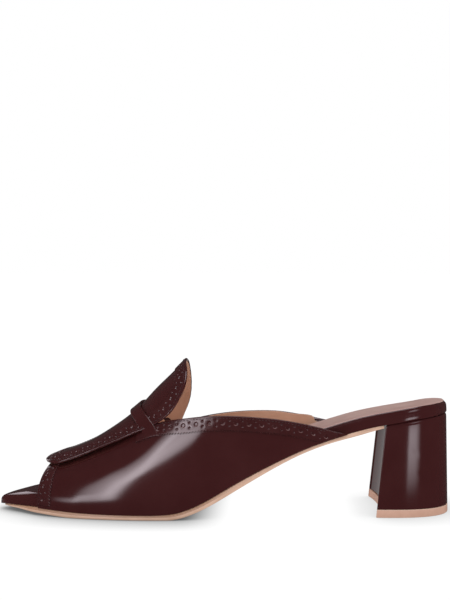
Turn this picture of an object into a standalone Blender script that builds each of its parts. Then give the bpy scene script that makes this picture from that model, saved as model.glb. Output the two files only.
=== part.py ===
"""Open-toe mule with a block heel, for the right foot.

The toe points along -X and the heel along +X, the inner (medial) side faces -Y and the outer
(lateral) side +Y. The shoe stands on the XY plane, on its heel and the ball of its sole.

Every surface comes from one last: a plan outline, a side profile and a set of arched sections.
Tables are in millimetres and become metres where they are read, through MM.
"""

import math

import bmesh
import bpy
import numpy as np

MM = 0.001

# ---------------------------------------------------------------- driving dimensions
LENGTH = 241 * MM  # toe tip to back of heel, measured along the floor
GAP = 0.3 * MM  # clearance between pieces that are glued or stitched together

SOCK_THICKNESS = 0.9 * MM
SOCK_INSET = 1.9 * MM  # how far the sock lining stays inside the footbed's edge
SOCK_FRONT = 46 * MM  # station where the sock lining starts, under the vamp
SEAT_CANT = 1.65 * MM  # the seat's inner edge is this much higher, and its outer edge lower
EDGE_ROUND = 1.1 * MM  # width of the rounded shoulder round the footbed's top
TOE_EDGE_ROUND = 5.5 * MM  # and its width at the toe

WALL = 1.7 * MM  # vamp leather and lining together
WALL_CLEARANCE = 0.8 * MM  # between the footbed's edge and the inside of the vamp
UPPER_REACH = WALL + WALL_CLEARANCE  # the vamp's outer face lies this far outside the footbed
SOLE_REACH = 1.9 * MM  # the sole's edge lies this far outside the footbed, under the vamp

BAND_THICKNESS = 0.6 * MM  # perforated facings along the edges of the vamp
TOE_BAND_WIDTH = 7.2 * MM
TOPLINE_BAND_WIDTH = 7.4 * MM
TOPLINE_BAND_START_INNER = 77.5 * MM
TOPLINE_BAND_START_OUTER = 87.2 * MM
TONGUE_THICKNESS = 1.9 * MM
KEEPER_THICKNESS = 1.4 * MM
KEEPER_WIDTH = 8.0 * MM

HEEL_FRONT_FLOOR = 200.4 * MM  # stations of the heel block's front corners
HEEL_FRONT_SEAT = 205.6 * MM
HEEL_BACK_FLOOR = 240.6 * MM
HEEL_BACK_SEAT = 240.0 * MM
HEEL_HALF_FLOOR = 27.4 * MM
HEEL_HALF_SEAT = 25.4 * MM
HEEL_HEIGHT = 50 * MM  # from the floor to the seat, over which the widths above change
HEEL_HOLLOW = 3.6 * MM  # depth of the curve in the heel's front face
HEEL_HOLLOW_POINTS = 8  # from the middle of that curve to the corner, on each side
HEEL_SQUARENESS = 2.7  # exponent of the heel's rounded plan
TOP_PIECE_HEIGHT = 4.2 * MM

# ---------------------------------------------------------------- tables of the last
# Plan of the footbed: station from the toe tip, and the distance of its inner and outer edge from
# the heel's centre line. Inner distances run towards -Y and outer ones towards +Y.
#        station  inner  outer
PLAN = np.array([
    (0.0, 13.6, -13.6),
    (4.0, 19.2, -8.6),
    (10.0, 23.2, -3.2),
    (20.0, 28.0, 4.6),
    (30.0, 31.8, 10.6),
    (45.0, 35.8, 18.4),
    (60.0, 38.0, 25.4),
    (75.0, 38.9, 31.4),
    (90.0, 38.4, 35.5),
    (105.0, 36.7, 37.0),
    (120.0, 33.7, 36.5),
    (135.0, 30.4, 34.5),
    (150.0, 27.7, 31.9),
    (165.0, 26.0, 29.5),
    (180.0, 25.4, 27.6),
    (195.0, 25.8, 26.5),
    (210.0, 26.0, 26.1),
    (222.0, 24.4, 24.4),
    (232.0, 19.4, 19.4),
    (238.0, 11.2, 11.2),
    (241.0, 0.0, 0.0),
]) * MM

# Side profile: height of the footbed's underside above the floor, and its thickness.
#        station  under  thickness
PROFILE = np.array([
    (0.0, 2.8, 3.7),
    (4.0, 3.4, 4.5),
    (10.0, 3.8, 5.6),
    (16.0, 3.9, 6.6),
    (22.0, 3.9, 7.1),
    (43.0, 3.1, 6.3),
    (60.0, 2.72, 5.9),
    (70.0, 2.62, 5.9),
    (82.0, 2.62, 5.8),
    (91.0, 2.85, 5.8),
    (98.0, 3.8, 5.9),
    (105.0, 6.0, 6.0),
    (112.5, 9.4, 6.0),
    (125.5, 16.6, 6.1),
    (138.6, 23.5, 6.3),
    (152.0, 30.0, 6.1),
    (165.0, 35.7, 5.6),
    (178.0, 40.4, 5.2),
    (191.5, 44.6, 5.1),
    (200.0, 46.8, 4.9),
    (211.0, 48.7, 5.1),
    (221.0, 50.4, 5.2),
    (231.0, 51.7, 5.7),
    (241.0, 52.5, 6.3),
]) * MM

# Thickness of the sole and its glue line at the edge: thin at the toe and bevelled in the waist.
#        station  thickness
SOLE = np.array([
    (0.0, 1.2),
    (12.0, 1.75),
    (24.0, 2.75),
    (36.0, 3.1),
    (60.0, 2.8),
    (91.0, 2.8),
    (112.0, 3.2),
    (125.0, 3.3),
    (133.0, 3.0),
    (143.0, 2.4),
    (155.0, 1.7),
    (170.0, 1.4),
    (185.0, 1.4),
    (196.0, 1.9),
    (206.0, 2.3),
]) * MM

# Ridge of the upper: height of its crest, how far the crest lies towards +Y, and the exponent of
# the arched section, where 2 is an ellipse and more is squarer.
#        station  crest  sideways  arch
RIDGE = np.array([
    (18.0, 18.4, -12.0, 2.50),
    (25.0, 23.4, -11.4, 2.45),
    (31.0, 26.6, -10.8, 2.40),
    (37.0, 28.7, -10.1, 2.35),
    (45.4, 31.9, -9.0, 2.30),
    (53.5, 35.8, -7.8, 2.25),
    (61.6, 40.6, -6.5, 2.20),
    (68.0, 45.1, -5.4, 2.15),
    (77.7, 53.9, -3.8, 2.10),
    (85.8, 62.2, -2.6, 2.10),
    (93.8, 70.4, -1.6, 2.10),
    (99.5, 76.2, -1.0, 2.10),
    (115.0, 89.4, 0.2, 2.15),
    (135.0, 100.4, 0.8, 2.25),
    (160.0, 106.4, 0.5, 2.35),
    (190.0, 108.4, 0.0, 2.45),
])
RIDGE[:, :3] *= MM

# Topline of the vamp behind the keeper: station and height above the floor, on each side.
#        station  height
TOPLINE_INNER = np.array([
    (84.0, 47.7),
    (92.0, 49.8),
    (100.0, 51.2),
    (111.0, 52.6),
    (125.5, 52.9),
    (138.6, 52.1),
    (150.0, 50.9),
    (160.0, 49.2),
    (170.0, 47.0),
    (180.0, 44.4),
]) * MM
TOPLINE_OUTER = np.array([
    (87.0, 38.6),
    (94.0, 40.6),
    (102.0, 42.7),
    (111.0, 44.6),
    (125.5, 46.5),
    (138.6, 47.3),
    (150.0, 47.1),
    (160.0, 45.9),
    (170.0, 44.2),
    (180.0, 42.5),
]) * MM
TOPLINE_END = 186 * MM  # station where both wings of the vamp run out on the sole

# Front edge of the vamp around the open toe: turn about the ridge from the inner side (0) over
# the crest (90) to the outer side (180), and station.
#        turn  station
TOE_OPENING = np.array([
    (0.0, 24.0),
    (30.0, 24.3),
    (60.0, 26.3),
    (90.0, 28.6),
    (120.0, 28.4),
    (150.0, 28.4),
    (180.0, 29.4),
])

# Tongue seen from above, before its ends are rounded: station of each cross line at the crest,
# how far it reaches to the inner and to the outer side, and how far each end sweeps back.
#        station  inner  outer  inner_sweep  outer_sweep
TONGUE = np.array([
    (26.0, 15.2, 15.0, 2.7, 2.7),
    (34.0, 15.6, 15.3, 2.7, 2.7),
    (43.0, 16.8, 16.3, 2.8, 2.8),
    (50.0, 17.8, 17.3, 3.1, 3.1),
    (59.0, 20.2, 19.8, 4.3, 4.3),
    (68.0, 23.1, 25.6, 6.4, 6.7),
    (74.0, 25.0, 29.6, 8.0, 8.4),
    (77.5, 26.1, 32.0, 8.7, 9.0),
    (80.5, 27.0, 34.3, 9.1, 9.4),
    (84.0, 27.5, 33.7, 8.9, 9.2),
    (87.5, 27.4, 31.8, 9.2, 9.2),
    (91.0, 27.3, 30.5, 9.8, 8.8),
    (95.0, 27.5, 29.2, 12.4, 7.8),
    (101.0, 27.9, 27.8, 16.5, 5.6),
]) * MM
TONGUE_FRONT = 26.2 * MM
TONGUE_BACK = 101.3 * MM
TONGUE_FRONT_ROUND = 9.0 * MM  # length over which the front end rounds off
TONGUE_BACK_ROUND = 15.0 * MM

FOREFOOT_SKEW = 0.05  # the forefoot's cross lines fall back this much towards the outer side

KEEPER_STATION = 75.2 * MM  # crest station of the keeper's centre line
KEEPER_SWEEP = 10.6 * MM
KEEPER_INNER_LENGTH = 30.0 * MM
KEEPER_OUTER_LENGTH = 36.6 * MM

# ---------------------------------------------------------------- colours of the leathers
#             red, green, blue, roughness
BURGUNDY = (0.055, 0.012, 0.014, 0.28)
NUDE = (0.50, 0.30, 0.23, 0.60)
TAN = (0.56, 0.33, 0.21, 0.50)


def through(knots, values):
    """The natural cubic spline through a table's rows, as a function."""
    steps = np.diff(knots)
    slopes = np.diff(values) / steps
    matrix = np.diag(np.r_[1.0, 2 * (steps[:-1] + steps[1:]), 1.0])
    inner = np.arange(1, len(knots) - 1)
    matrix[inner, inner - 1] = steps[:-1]
    matrix[inner, inner + 1] = steps[1:]
    bends = np.linalg.solve(matrix, np.r_[0.0, 6 * np.diff(slopes), 0.0])

    def value(at):
        at = np.asarray(at, float)
        i = np.clip(np.searchsorted(knots, at) - 1, 0, len(steps) - 1)
        step, before, after = steps[i], at - knots[i], knots[i + 1] - at
        return (
            (bends[i] * after**3 + bends[i + 1] * before**3) / (6 * step)
            + (values[i] / step - bends[i] * step / 6) * after
            + (values[i + 1] / step - bends[i + 1] * step / 6) * before
        )

    return value


def turn_of(station):
    """The angle that makes the toe and the heel round in plan: 0 at the toe tip, pi at the back."""
    return np.arccos(np.clip(1 - 2 * np.asarray(station, float) / LENGTH, -1, 1))


inner_plan = through(turn_of(PLAN[:, 0]), PLAN[:, 1])
outer_plan = through(turn_of(PLAN[:, 0]), PLAN[:, 2])
footbed_under = through(PROFILE[:, 0], PROFILE[:, 1])
footbed_thickness = through(PROFILE[:, 0], PROFILE[:, 2])
sole_thickness = through(SOLE[:, 0], SOLE[:, 1])
ridge_height = through(RIDGE[:, 0], RIDGE[:, 1])
ridge_side = through(RIDGE[:, 0], RIDGE[:, 2])
ridge_arch = through(RIDGE[:, 0], RIDGE[:, 3])


def step_up(value, low, high):
    """0 below low, 1 above high, and a smooth rise between them."""
    t = np.clip((np.asarray(value, float) - low) / (high - low), 0, 1)
    return t * t * (3 - 2 * t)


# ---------------------------------------------------------------- the upper's own surface
def upper_at(station, sideways):
    """Points of the upper's outer face at given stations and distances towards +Y."""
    side = ridge_side(station)
    inner = side + inner_plan(turn_of(station)) + UPPER_REACH
    outer = outer_plan(turn_of(station)) + UPPER_REACH - side
    reach = np.where(sideways < side, inner, outer)
    arch = ridge_arch(station)
    share = np.clip(np.abs(sideways - side) / reach, 0, 1)
    base = footbed_under(station)
    height = base + (ridge_height(station) - base) * (1 - share**arch) ** (1 / arch)
    return np.stack([station, sideways + 0 * station, height], axis=-1)


def upper_turned(station, turn):
    """Points of the upper's outer face by station and turn: 0 inner edge, 90 crest, 180 outer."""
    angle = np.radians(turn)
    power = 2 / ridge_arch(station)
    side = ridge_side(station)
    inner = side + inner_plan(turn_of(station)) + UPPER_REACH
    outer = outer_plan(turn_of(station)) + UPPER_REACH - side
    reach = np.where(turn < 90, -inner, outer)
    base = footbed_under(station)
    sideways = side + reach * np.abs(np.cos(angle)) ** power
    height = base + (ridge_height(station) - base) * np.sin(angle).clip(0, 1) ** power
    return np.stack([station, sideways, height], axis=-1)


def turn_at_height(station, height):
    """The turn, 0 to 90, where a section reaches a height."""
    base = footbed_under(station)
    share = np.clip((height - base) / (ridge_height(station) - base), 0, 1)
    return np.degrees(np.arcsin(share ** (ridge_arch(station) / 2)))


def keeper_centre(sideways, length):
    """Station of the keeper's centre line at a distance from the crest."""
    return KEEPER_STATION + KEEPER_SWEEP * (sideways / length) ** 2 + FOREFOOT_SKEW * sideways


def topline_side(table, length):
    """Station of the vamp's back edge on one side, for turns from 0 at the sole to 90 at the
    crest. Under the keeper it follows the keeper's centre line."""
    shares = np.array([0.0, 0.4, 0.75]) if length < 0 else np.array([0.0, 0.38, 0.72])
    sideways = shares * length
    stations = keeper_centre(sideways, length)
    heights = upper_at(stations, ridge_side(stations) + sideways)[:, 2]
    stations = np.r_[stations, table[:, 0], TOPLINE_END]
    turns = np.r_[turn_at_height(stations[:3], heights), turn_at_height(*table.T), 0.0]
    return through(turns[::-1], stations[::-1])


def topline_station(turn):
    """Station of the vamp's back edge for each turn about the ridge."""
    inner = topline_side(TOPLINE_INNER, -KEEPER_INNER_LENGTH)
    outer = topline_side(TOPLINE_OUTER, KEEPER_OUTER_LENGTH)
    return np.where(turn < 90, inner(turn), outer(180 - turn))


toe_opening_station = through(TOE_OPENING[:, 0], TOE_OPENING[:, 1] * MM)


def upper_lifted(station, sideways, distance):
    """Points at a distance outside the upper's outer face."""
    step = 0.2 * MM
    along = upper_at(station + step, sideways) - upper_at(station - step, sideways)
    across = upper_at(station, sideways + step) - upper_at(station, sideways - step)
    normals = np.cross(along, across)
    normals /= np.linalg.norm(normals, axis=-1, keepdims=True)
    return upper_at(station, sideways) + normals * np.asarray(distance)[..., None]


def lifted(grid, distance):
    """A grid of points moved along its normals, which point out of the upper."""
    along = np.gradient(grid, axis=0)
    across = np.gradient(grid, axis=1)
    normals = np.cross(along, across)
    normals /= np.linalg.norm(normals, axis=-1, keepdims=True)
    return grid + normals * np.asarray(distance)[..., None]


# ---------------------------------------------------------------- making objects
def leather(name, colour):
    """A plain leather material of one colour and roughness, for the piece of that name."""
    material = bpy.data.materials.new(name)
    material.use_nodes = True
    shader = material.node_tree.nodes["Principled BSDF"]
    shader.inputs["Base Color"].default_value = (*colour[:3], 1.0)
    shader.inputs["Roughness"].default_value = colour[3]
    return material


def add_object(name, points, faces, colour, parent):
    """A mesh object from points and faces, smooth except at sharp edges."""
    mesh = bpy.data.meshes.new(name)
    mesh.from_pydata(points.reshape(-1, 3).tolist(), [], faces)
    mesh.materials.append(leather(name, colour))
    bm = bmesh.new()
    bm.from_mesh(mesh)
    bmesh.ops.remove_doubles(bm, verts=bm.verts, dist=0.01 * MM)
    bmesh.ops.recalc_face_normals(bm, faces=bm.faces)
    bm.to_mesh(mesh)
    bm.free()
    mesh.shade_smooth()
    mesh.set_sharp_from_angle(angle=math.radians(35))
    made = bpy.data.objects.new(name, mesh)
    parent.users_collection[0].objects.link(made)
    made.parent = parent
    return made


def grid_faces(rows, columns, reverse=False):
    """Quads between the rows and columns of a grid of points."""
    faces = []
    for i in range(rows - 1):
        for j in range(columns - 1):
            a = i * columns + j
            quad = [a, a + 1, a + columns + 1, a + columns]
            faces.append(quad[::-1] if reverse else quad)
    return faces


def add_shell(name, inner, outer, colour, parent):
    """A closed wall between two grids of points, its inner and its outer face."""
    rows, columns = inner.shape[:2]
    count = rows * columns
    faces = grid_faces(rows, columns)
    faces += [[i + count for i in reversed(face)] for face in faces]
    rim = (
        [(i, 0) for i in range(rows)]
        + [(rows - 1, j) for j in range(1, columns)]
        + [(i, columns - 1) for i in range(rows - 2, -1, -1)]
        + [(0, j) for j in range(columns - 2, 0, -1)]
    )
    ring = [i * columns + j for i, j in rim]
    for a, b in zip(ring, ring[1:] + ring[:1]):
        faces.append([a, b, b + count, a + count])
    return add_object(name, np.concatenate([inner, outer]), faces, colour, parent)


def add_stack(name, rings, colour, parent, hollow=0):
    """A solid from a stack of rings. A ring is a row of points down one side of a piece, from
    its front to its back, and then the same number up the other side. The first and the last ring
    are closed by strips between the sides, and by one face round a hollow front of that many
    points a side."""
    points = np.concatenate(rings)
    size = len(rings[0])
    half = size // 2
    faces = []
    for layer in range(len(rings) - 1):
        for i in range(size):
            j = (i + 1) % size
            low, high = layer * size, (layer + 1) * size
            faces.append([low + i, low + j, high + j, high + i])
    for start in (0, (len(rings) - 1) * size):
        side = list(range(start, start + hollow + 1))
        if hollow:
            faces.append(side + [2 * start + size - 1 - i for i in reversed(side)])
        for i in range(hollow, half - 1):
            faces.append([start + i, start + i + 1, start + size - 2 - i, start + size - 1 - i])
    return add_object(name, points, faces, colour, parent)


def plan_ring(stations, reach, height):
    """A ring round the footbed's plan, moved out by reach, at a height that follows the station."""
    angle = turn_of(stations)
    inner = np.stack([stations, -inner_plan(angle)], axis=-1)
    outer = np.stack([stations, outer_plan(angle)], axis=-1)
    loop = np.concatenate([inner, outer[::-1]])
    heading = np.concatenate([np.gradient(inner, axis=0), np.gradient(outer[::-1], axis=0)])
    heading /= np.linalg.norm(heading, axis=1, keepdims=True)
    outwards = np.stack([heading[:, 1], -heading[:, 0]], axis=-1)
    moved = loop + outwards * np.broadcast_to(reach, len(loop))[:, None]
    return np.column_stack([moved, height(np.clip(moved[:, 0], 0, LENGTH), moved[:, 1])])


def round_stations(first, last, count):
    """Stations closer together at the toe and the heel, so that both come out round."""
    low, high = turn_of(first), turn_of(last)
    return LENGTH * (1 - np.cos(np.linspace(low, high, count))) / 2


FOOTBED_STATIONS = round_stations(0.4 * MM, LENGTH - 0.4 * MM, 48)


# ---------------------------------------------------------------- the pieces
def footbed_height(station, sideways, share):
    """Height in the footbed: share 0 is its underside and 1 its canted top."""
    canted = step_up(station, 120 * MM, 170 * MM) * (1 - 0.7 * step_up(station, 222 * MM, 240 * MM))
    cant = -SEAT_CANT * canted * sideways / (26 * MM)
    return footbed_under(station) + footbed_thickness(station) * share + cant * share


def make_footbed(colour, parent):
    """The insole board, wrapped in leather, with a rounded top edge that is wide at the toe and a
    shallow recess for the sock lining."""
    loop = np.r_[FOOTBED_STATIONS, FOOTBED_STATIONS[::-1]]
    at_toe = 1 - step_up(loop, 34 * MM, 46 * MM)
    widening = at_toe * (0.12 + 0.88 * step_up(loop, 0, 12 * MM))
    shoulder = EDGE_ROUND + (TOE_EDGE_ROUND - EDGE_ROUND) * widening
    shoulder_foot = 0.66 - 0.14 * at_toe

    def ring(reach, level, depth=0.0):
        return plan_ring(FOOTBED_STATIONS, reach,
                         lambda s, y: footbed_height(s, y, level) - depth * recess(s))

    rings = [ring(-0.6 * MM, 0.0), ring(0.0, 0.12)]
    for angle in (0, math.pi / 4, math.pi / 2):
        level = shoulder_foot + (1 - shoulder_foot) * math.sin(angle)
        rings.append(ring(-shoulder * (1 - math.cos(angle)), level))
    rings.append(ring(-shoulder - 0.5 * MM, 1.0, depth=1.0))
    return add_stack("footbed", rings, colour, parent)


def recess(station):
    """Depth of the sock lining's recess in the footbed."""
    return 0.9 * SOCK_THICKNESS * step_up(station, SOCK_FRONT - 14 * MM, SOCK_FRONT - 6 * MM)


def make_sock_lining(colour, parent):
    """The thin lining glued on top of the footbed, from under the vamp to the heel."""
    stations = FOOTBED_STATIONS[FOOTBED_STATIONS > SOCK_FRONT]
    rings = []
    for extra, lift in ((0.3, 0.0), (0.0, 0.4), (0.0, 0.7), (0.35, 1.0)):
        rings.append(plan_ring(
            stations, -SOCK_INSET - extra * MM,
            lambda s, y, lift=lift: footbed_height(s, y, 1.0) - recess(s) + GAP
            + lift * SOCK_THICKNESS))
    return add_stack("sock_lining", rings, colour, parent)


def make_outsole(colour, parent):
    """The leather sole from the toe to the heel's front face, level where the shoe stands on it."""
    end = HEEL_FRONT_SEAT - 0.8 * MM
    stations = np.r_[round_stations(0.9 * MM, 60 * MM, 16), np.linspace(60 * MM, end, 30)[1:]]
    vamp_front, vamp_back = TOE_OPENING[0, 1] * MM, TOPLINE_END

    def edge(loop_stations):
        under_vamp = step_up(loop_stations, vamp_front - 14 * MM, vamp_front)
        under_vamp *= 1 - step_up(loop_stations, vamp_back - 8 * MM, vamp_back + 10 * MM)
        return -0.3 * MM + (SOLE_REACH + 0.3 * MM) * under_vamp

    loop_stations = np.r_[stations, stations[::-1]]
    rings = []
    for inset, share in ((0.7, 0.0), (0.0, 0.45), (0.0, 1.0)):
        rings.append(plan_ring(
            stations, edge(loop_stations) - inset * MM,
            lambda s, y, share=share: np.maximum(footbed_under(s) - sole_thickness(s), 0)
            * (1 - share) + (footbed_under(s) - GAP) * share))
    for ring in rings:
        ring[[len(stations) - 1, len(stations)], 0] = end
    return add_stack("outsole", rings, colour, parent)


def heel_ring(share, seat):
    """A ring of the heel block, from its front middle round one side to the back, and back up
    the other side. share is 0 on the floor and 1 at the seat."""
    front = HEEL_FRONT_FLOOR + (HEEL_FRONT_SEAT - HEEL_FRONT_FLOOR) * share
    back = HEEL_BACK_FLOOR + (HEEL_BACK_SEAT - HEEL_BACK_FLOOR) * share
    half = HEEL_HALF_FLOOR + (HEEL_HALF_SEAT - HEEL_HALF_FLOOR) * share
    across = np.linspace(0.04, 1, HEEL_HOLLOW_POINTS)[:-1]
    hollow = np.stack([front + HEEL_HOLLOW * (1 - across**2), -half * across], axis=-1)
    angle = np.linspace(0, math.pi / 2, 22)[:-1]
    power = 2 / HEEL_SQUARENESS
    sweep = np.stack([
        front + (back - front) * np.sin(angle) ** power,
        -half * np.cos(angle) ** power,
    ], axis=-1)
    side = np.concatenate([hollow, sweep])
    mirrored = side[::-1] * (1, -1)
    plan = np.concatenate([side, mirrored])
    height = seat * share
    return np.column_stack([plan, np.full(len(plan), height)])


def make_heel(colour, parent):
    """The covered block: flared towards the floor, hollow in front, and fitted to the footbed."""
    rings = []
    foot = TOP_PIECE_HEIGHT + GAP
    for share in np.linspace(0, 1, 9):
        plan = heel_ring(foot / HEEL_HEIGHT * (1 - share) + share, HEEL_HEIGHT)
        top = footbed_under(np.clip(plan[:, 0], 0, LENGTH)) - GAP
        plan[:, 2] = foot + (top - foot) * share
        rings.append(plan)
    return add_stack("heel_block", rings, colour, parent, HEEL_HOLLOW_POINTS)


def make_top_piece(colour, parent):
    """The wearing piece under the heel block."""
    rings = []
    for height in (0.0, TOP_PIECE_HEIGHT):
        ring = heel_ring(height / HEEL_HEIGHT, HEEL_HEIGHT)
        rings.append(ring)
    return add_stack("top_piece", rings, colour, parent, HEEL_HOLLOW_POINTS)


def vamp_turns():
    """Turns for the vamp's rows, closer together near the sole, where the wings run out."""
    half = 90 * np.linspace(0, 1, 17) ** 1.45
    return np.r_[half, 180 - half[-2::-1]]


def make_vamp(colour, parent):
    """The upper: one hollow wall over the forefoot, open at the toe, the back and underneath."""
    turns = vamp_turns()
    share = np.linspace(0, 1, 30)
    turn = np.broadcast_to(turns[None], (len(share), len(turns)))
    front, back = toe_opening_station(turns), topline_station(turns)
    station = front + (back - front) * share[:, None]
    outer = upper_turned(station, turn)
    inner = lifted(outer, np.full(turn.shape, -WALL))
    return add_shell("vamp", inner, outer, colour, parent)


def make_toe_band(colour, parent):
    """The perforated facing round the open toe."""
    turns = np.r_[np.linspace(3, 90, 14), np.linspace(90, 177, 14)[1:]]
    share = np.linspace(0, 1, 5)
    turn = np.broadcast_to(turns[None], (len(share), len(turns)))
    front = toe_opening_station(turns)
    points = upper_turned(front + TOE_BAND_WIDTH * share[:, None], turn)
    inner = lifted(points, np.full(turn.shape, GAP))
    outer = lifted(points, np.full(turn.shape, GAP + BAND_THICKNESS))
    return add_shell("toe_band", inner, outer, colour, parent)


def make_topline_band(name, mirrored, colour, parent):
    """The perforated facing along one side of the topline, from the keeper to the waist."""
    table = TOPLINE_OUTER if mirrored else TOPLINE_INNER
    topline = through(table[:, 0], table[:, 1])
    start = table[0, 0]
    first = TOPLINE_BAND_START_OUTER if mirrored else TOPLINE_BAND_START_INNER
    stations = np.linspace(first, TOPLINE_END - 5.5 * MM, 30)
    top = topline(stations.clip(start)) - 0.45 * (start - stations).clip(0)
    width = TOPLINE_BAND_WIDTH * (0.75 + 0.25 * step_up(stations, 80 * MM, 105 * MM))
    low = np.maximum(top - width, footbed_under(stations) + 0.9 * MM)
    low = np.minimum(low, top - 1.2 * MM)
    share = np.linspace(0, 1, 4)
    height = low[:, None] + (top - low)[:, None] * (1 - share if mirrored else share)
    along = np.broadcast_to(stations[:, None], height.shape)
    turn = turn_at_height(along, height)
    points = upper_turned(along, 180 - turn if mirrored else turn)
    inner = lifted(points, np.full(height.shape, GAP))
    outer = lifted(points, np.full(height.shape, GAP + BAND_THICKNESS))
    return add_shell(name, inner, outer, colour, parent)


def make_tongue(colour, parent):
    """The long pointed tongue: it lies on the vamp from the open toe to the keeper, then stands
    up behind it as the last's instep does."""
    rows = (1 - np.cos(np.linspace(0, math.pi, 40))) / 2
    crest = TONGUE_FRONT + (TONGUE_BACK - TONGUE_FRONT) * (0.002 + 0.996 * rows[:, None])
    front = ((TONGUE_FRONT + TONGUE_FRONT_ROUND - crest) / TONGUE_FRONT_ROUND).clip(0)
    back = ((crest - TONGUE_BACK + TONGUE_BACK_ROUND) / TONGUE_BACK_ROUND).clip(0)
    rounded = (1 - front**2.4) ** (1 / 2.4) * np.sqrt(1 - back**2)
    inner, outer, inner_sweep, outer_sweep = (
        through(TONGUE[:, 0], column)(crest) for column in TONGUE.T[1:])
    across = np.linspace(-1, 1, 15)
    sideways = np.where(across < 0, inner, outer) * rounded * across
    sweep = np.where(across < 0, inner_sweep, outer_sweep) * (rounded * across) ** 2
    station = crest + sweep + FOREFOOT_SKEW * sideways
    sideways = ridge_side(station) + sideways
    under_keeper = np.exp(-((crest - KEEPER_STATION - 2 * MM) / (5 * MM)) ** 2)
    lift = 1.25 * MM - 0.85 * MM * under_keeper * (1 - across**2) ** 2
    inner = upper_lifted(station, sideways, lift)
    outer = upper_lifted(station, sideways, lift + TONGUE_THICKNESS)
    return add_shell("tongue", inner, outer, colour, parent)


def make_keeper(colour, parent):
    """The strap that holds the tongue down, stitched to the vamp at both ends."""
    across = np.linspace(-1, 1, 33)
    share = np.linspace(-0.5, 0.5, 5)[:, None]
    length = np.where(across < 0, KEEPER_INNER_LENGTH, KEEPER_OUTER_LENGTH)
    sideways = (length + 2.4 * MM * share) * across
    centre = keeper_centre(sideways, length + 2.4 * MM * share)
    station = centre + KEEPER_WIDTH * (0.6 + 0.3 * across**2) * share
    sideways = ridge_side(station) + sideways
    crown = (3.15 - 0.5 * share * (1 - across**2)) * MM
    foot = 1.25 * MM
    bend = np.where(across < 0, 0.87, 0.90)
    lift = GAP + crown + (foot - GAP - crown) * step_up(np.abs(across), bend, bend + 0.08)
    inner = upper_lifted(station, sideways, lift)
    outer = upper_lifted(station, sideways, lift + KEEPER_THICKNESS)
    return add_shell("keeper", inner, outer, colour, parent)


def stand_on_origin(parent):
    """Moves the parent so that the origin is under the middle of the shoe, on the floor."""
    bpy.context.view_layer.update()
    corners = np.concatenate([
        np.array([tuple(child.matrix_world @ vertex.co) for vertex in child.data.vertices])
        for child in parent.children
    ])
    low, high = corners.min(axis=0), corners.max(axis=0)
    parent.location = (-(low[0] + high[0]) / 2, -(low[1] + high[1]) / 2, -low[2])


def main():
    for old in list(bpy.data.objects):
        bpy.data.objects.remove(old, do_unlink=True)
    collection = bpy.data.collections.new("mule")
    bpy.context.scene.collection.children.link(collection)
    shoe = bpy.data.objects.new("mule_frame", None)
    collection.objects.link(shoe)

    make_outsole(TAN, shoe)
    make_top_piece(TAN, shoe)
    make_heel(BURGUNDY, shoe)
    make_footbed(BURGUNDY, shoe)
    make_sock_lining(NUDE, shoe)
    make_vamp(BURGUNDY, shoe)
    make_toe_band(BURGUNDY, shoe)
    make_topline_band("topline_band_inner", False, BURGUNDY, shoe)
    make_topline_band("topline_band_outer", True, BURGUNDY, shoe)
    make_tongue(BURGUNDY, shoe)
    make_keeper(BURGUNDY, shoe)
    stand_on_origin(shoe)


main()
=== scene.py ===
import math

import bmesh
import bpy
import numpy as np
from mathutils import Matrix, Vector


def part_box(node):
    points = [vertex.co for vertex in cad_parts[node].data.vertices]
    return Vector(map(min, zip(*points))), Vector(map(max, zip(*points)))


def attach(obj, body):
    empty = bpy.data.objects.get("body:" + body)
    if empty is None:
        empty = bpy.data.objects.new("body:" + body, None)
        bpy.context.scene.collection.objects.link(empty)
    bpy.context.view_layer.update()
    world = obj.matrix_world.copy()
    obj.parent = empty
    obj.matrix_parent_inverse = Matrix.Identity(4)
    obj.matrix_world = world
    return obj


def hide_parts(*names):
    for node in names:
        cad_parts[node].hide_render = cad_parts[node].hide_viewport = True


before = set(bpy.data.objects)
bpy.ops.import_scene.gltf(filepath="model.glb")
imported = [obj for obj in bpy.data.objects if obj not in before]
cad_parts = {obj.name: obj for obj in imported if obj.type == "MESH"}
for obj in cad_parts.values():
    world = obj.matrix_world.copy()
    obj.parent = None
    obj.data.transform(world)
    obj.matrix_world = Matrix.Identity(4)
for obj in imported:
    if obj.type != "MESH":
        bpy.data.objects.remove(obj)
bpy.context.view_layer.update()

# Shapes are worked out in millimetres on the shoe's own ruler: stations run from the toe tip to
# the heel, sideways distances from the heel's centre line towards the outer side, and heights
# from the floor. The heel's wearing piece says where that ruler lies in the frame.
mm = 0.001
heelFront = 200.4
heelLow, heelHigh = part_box("top_piece")
rulerStart = np.array([heelLow.x - heelFront * mm, (heelLow.y + heelHigh.y) / 2, 0.0])

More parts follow.
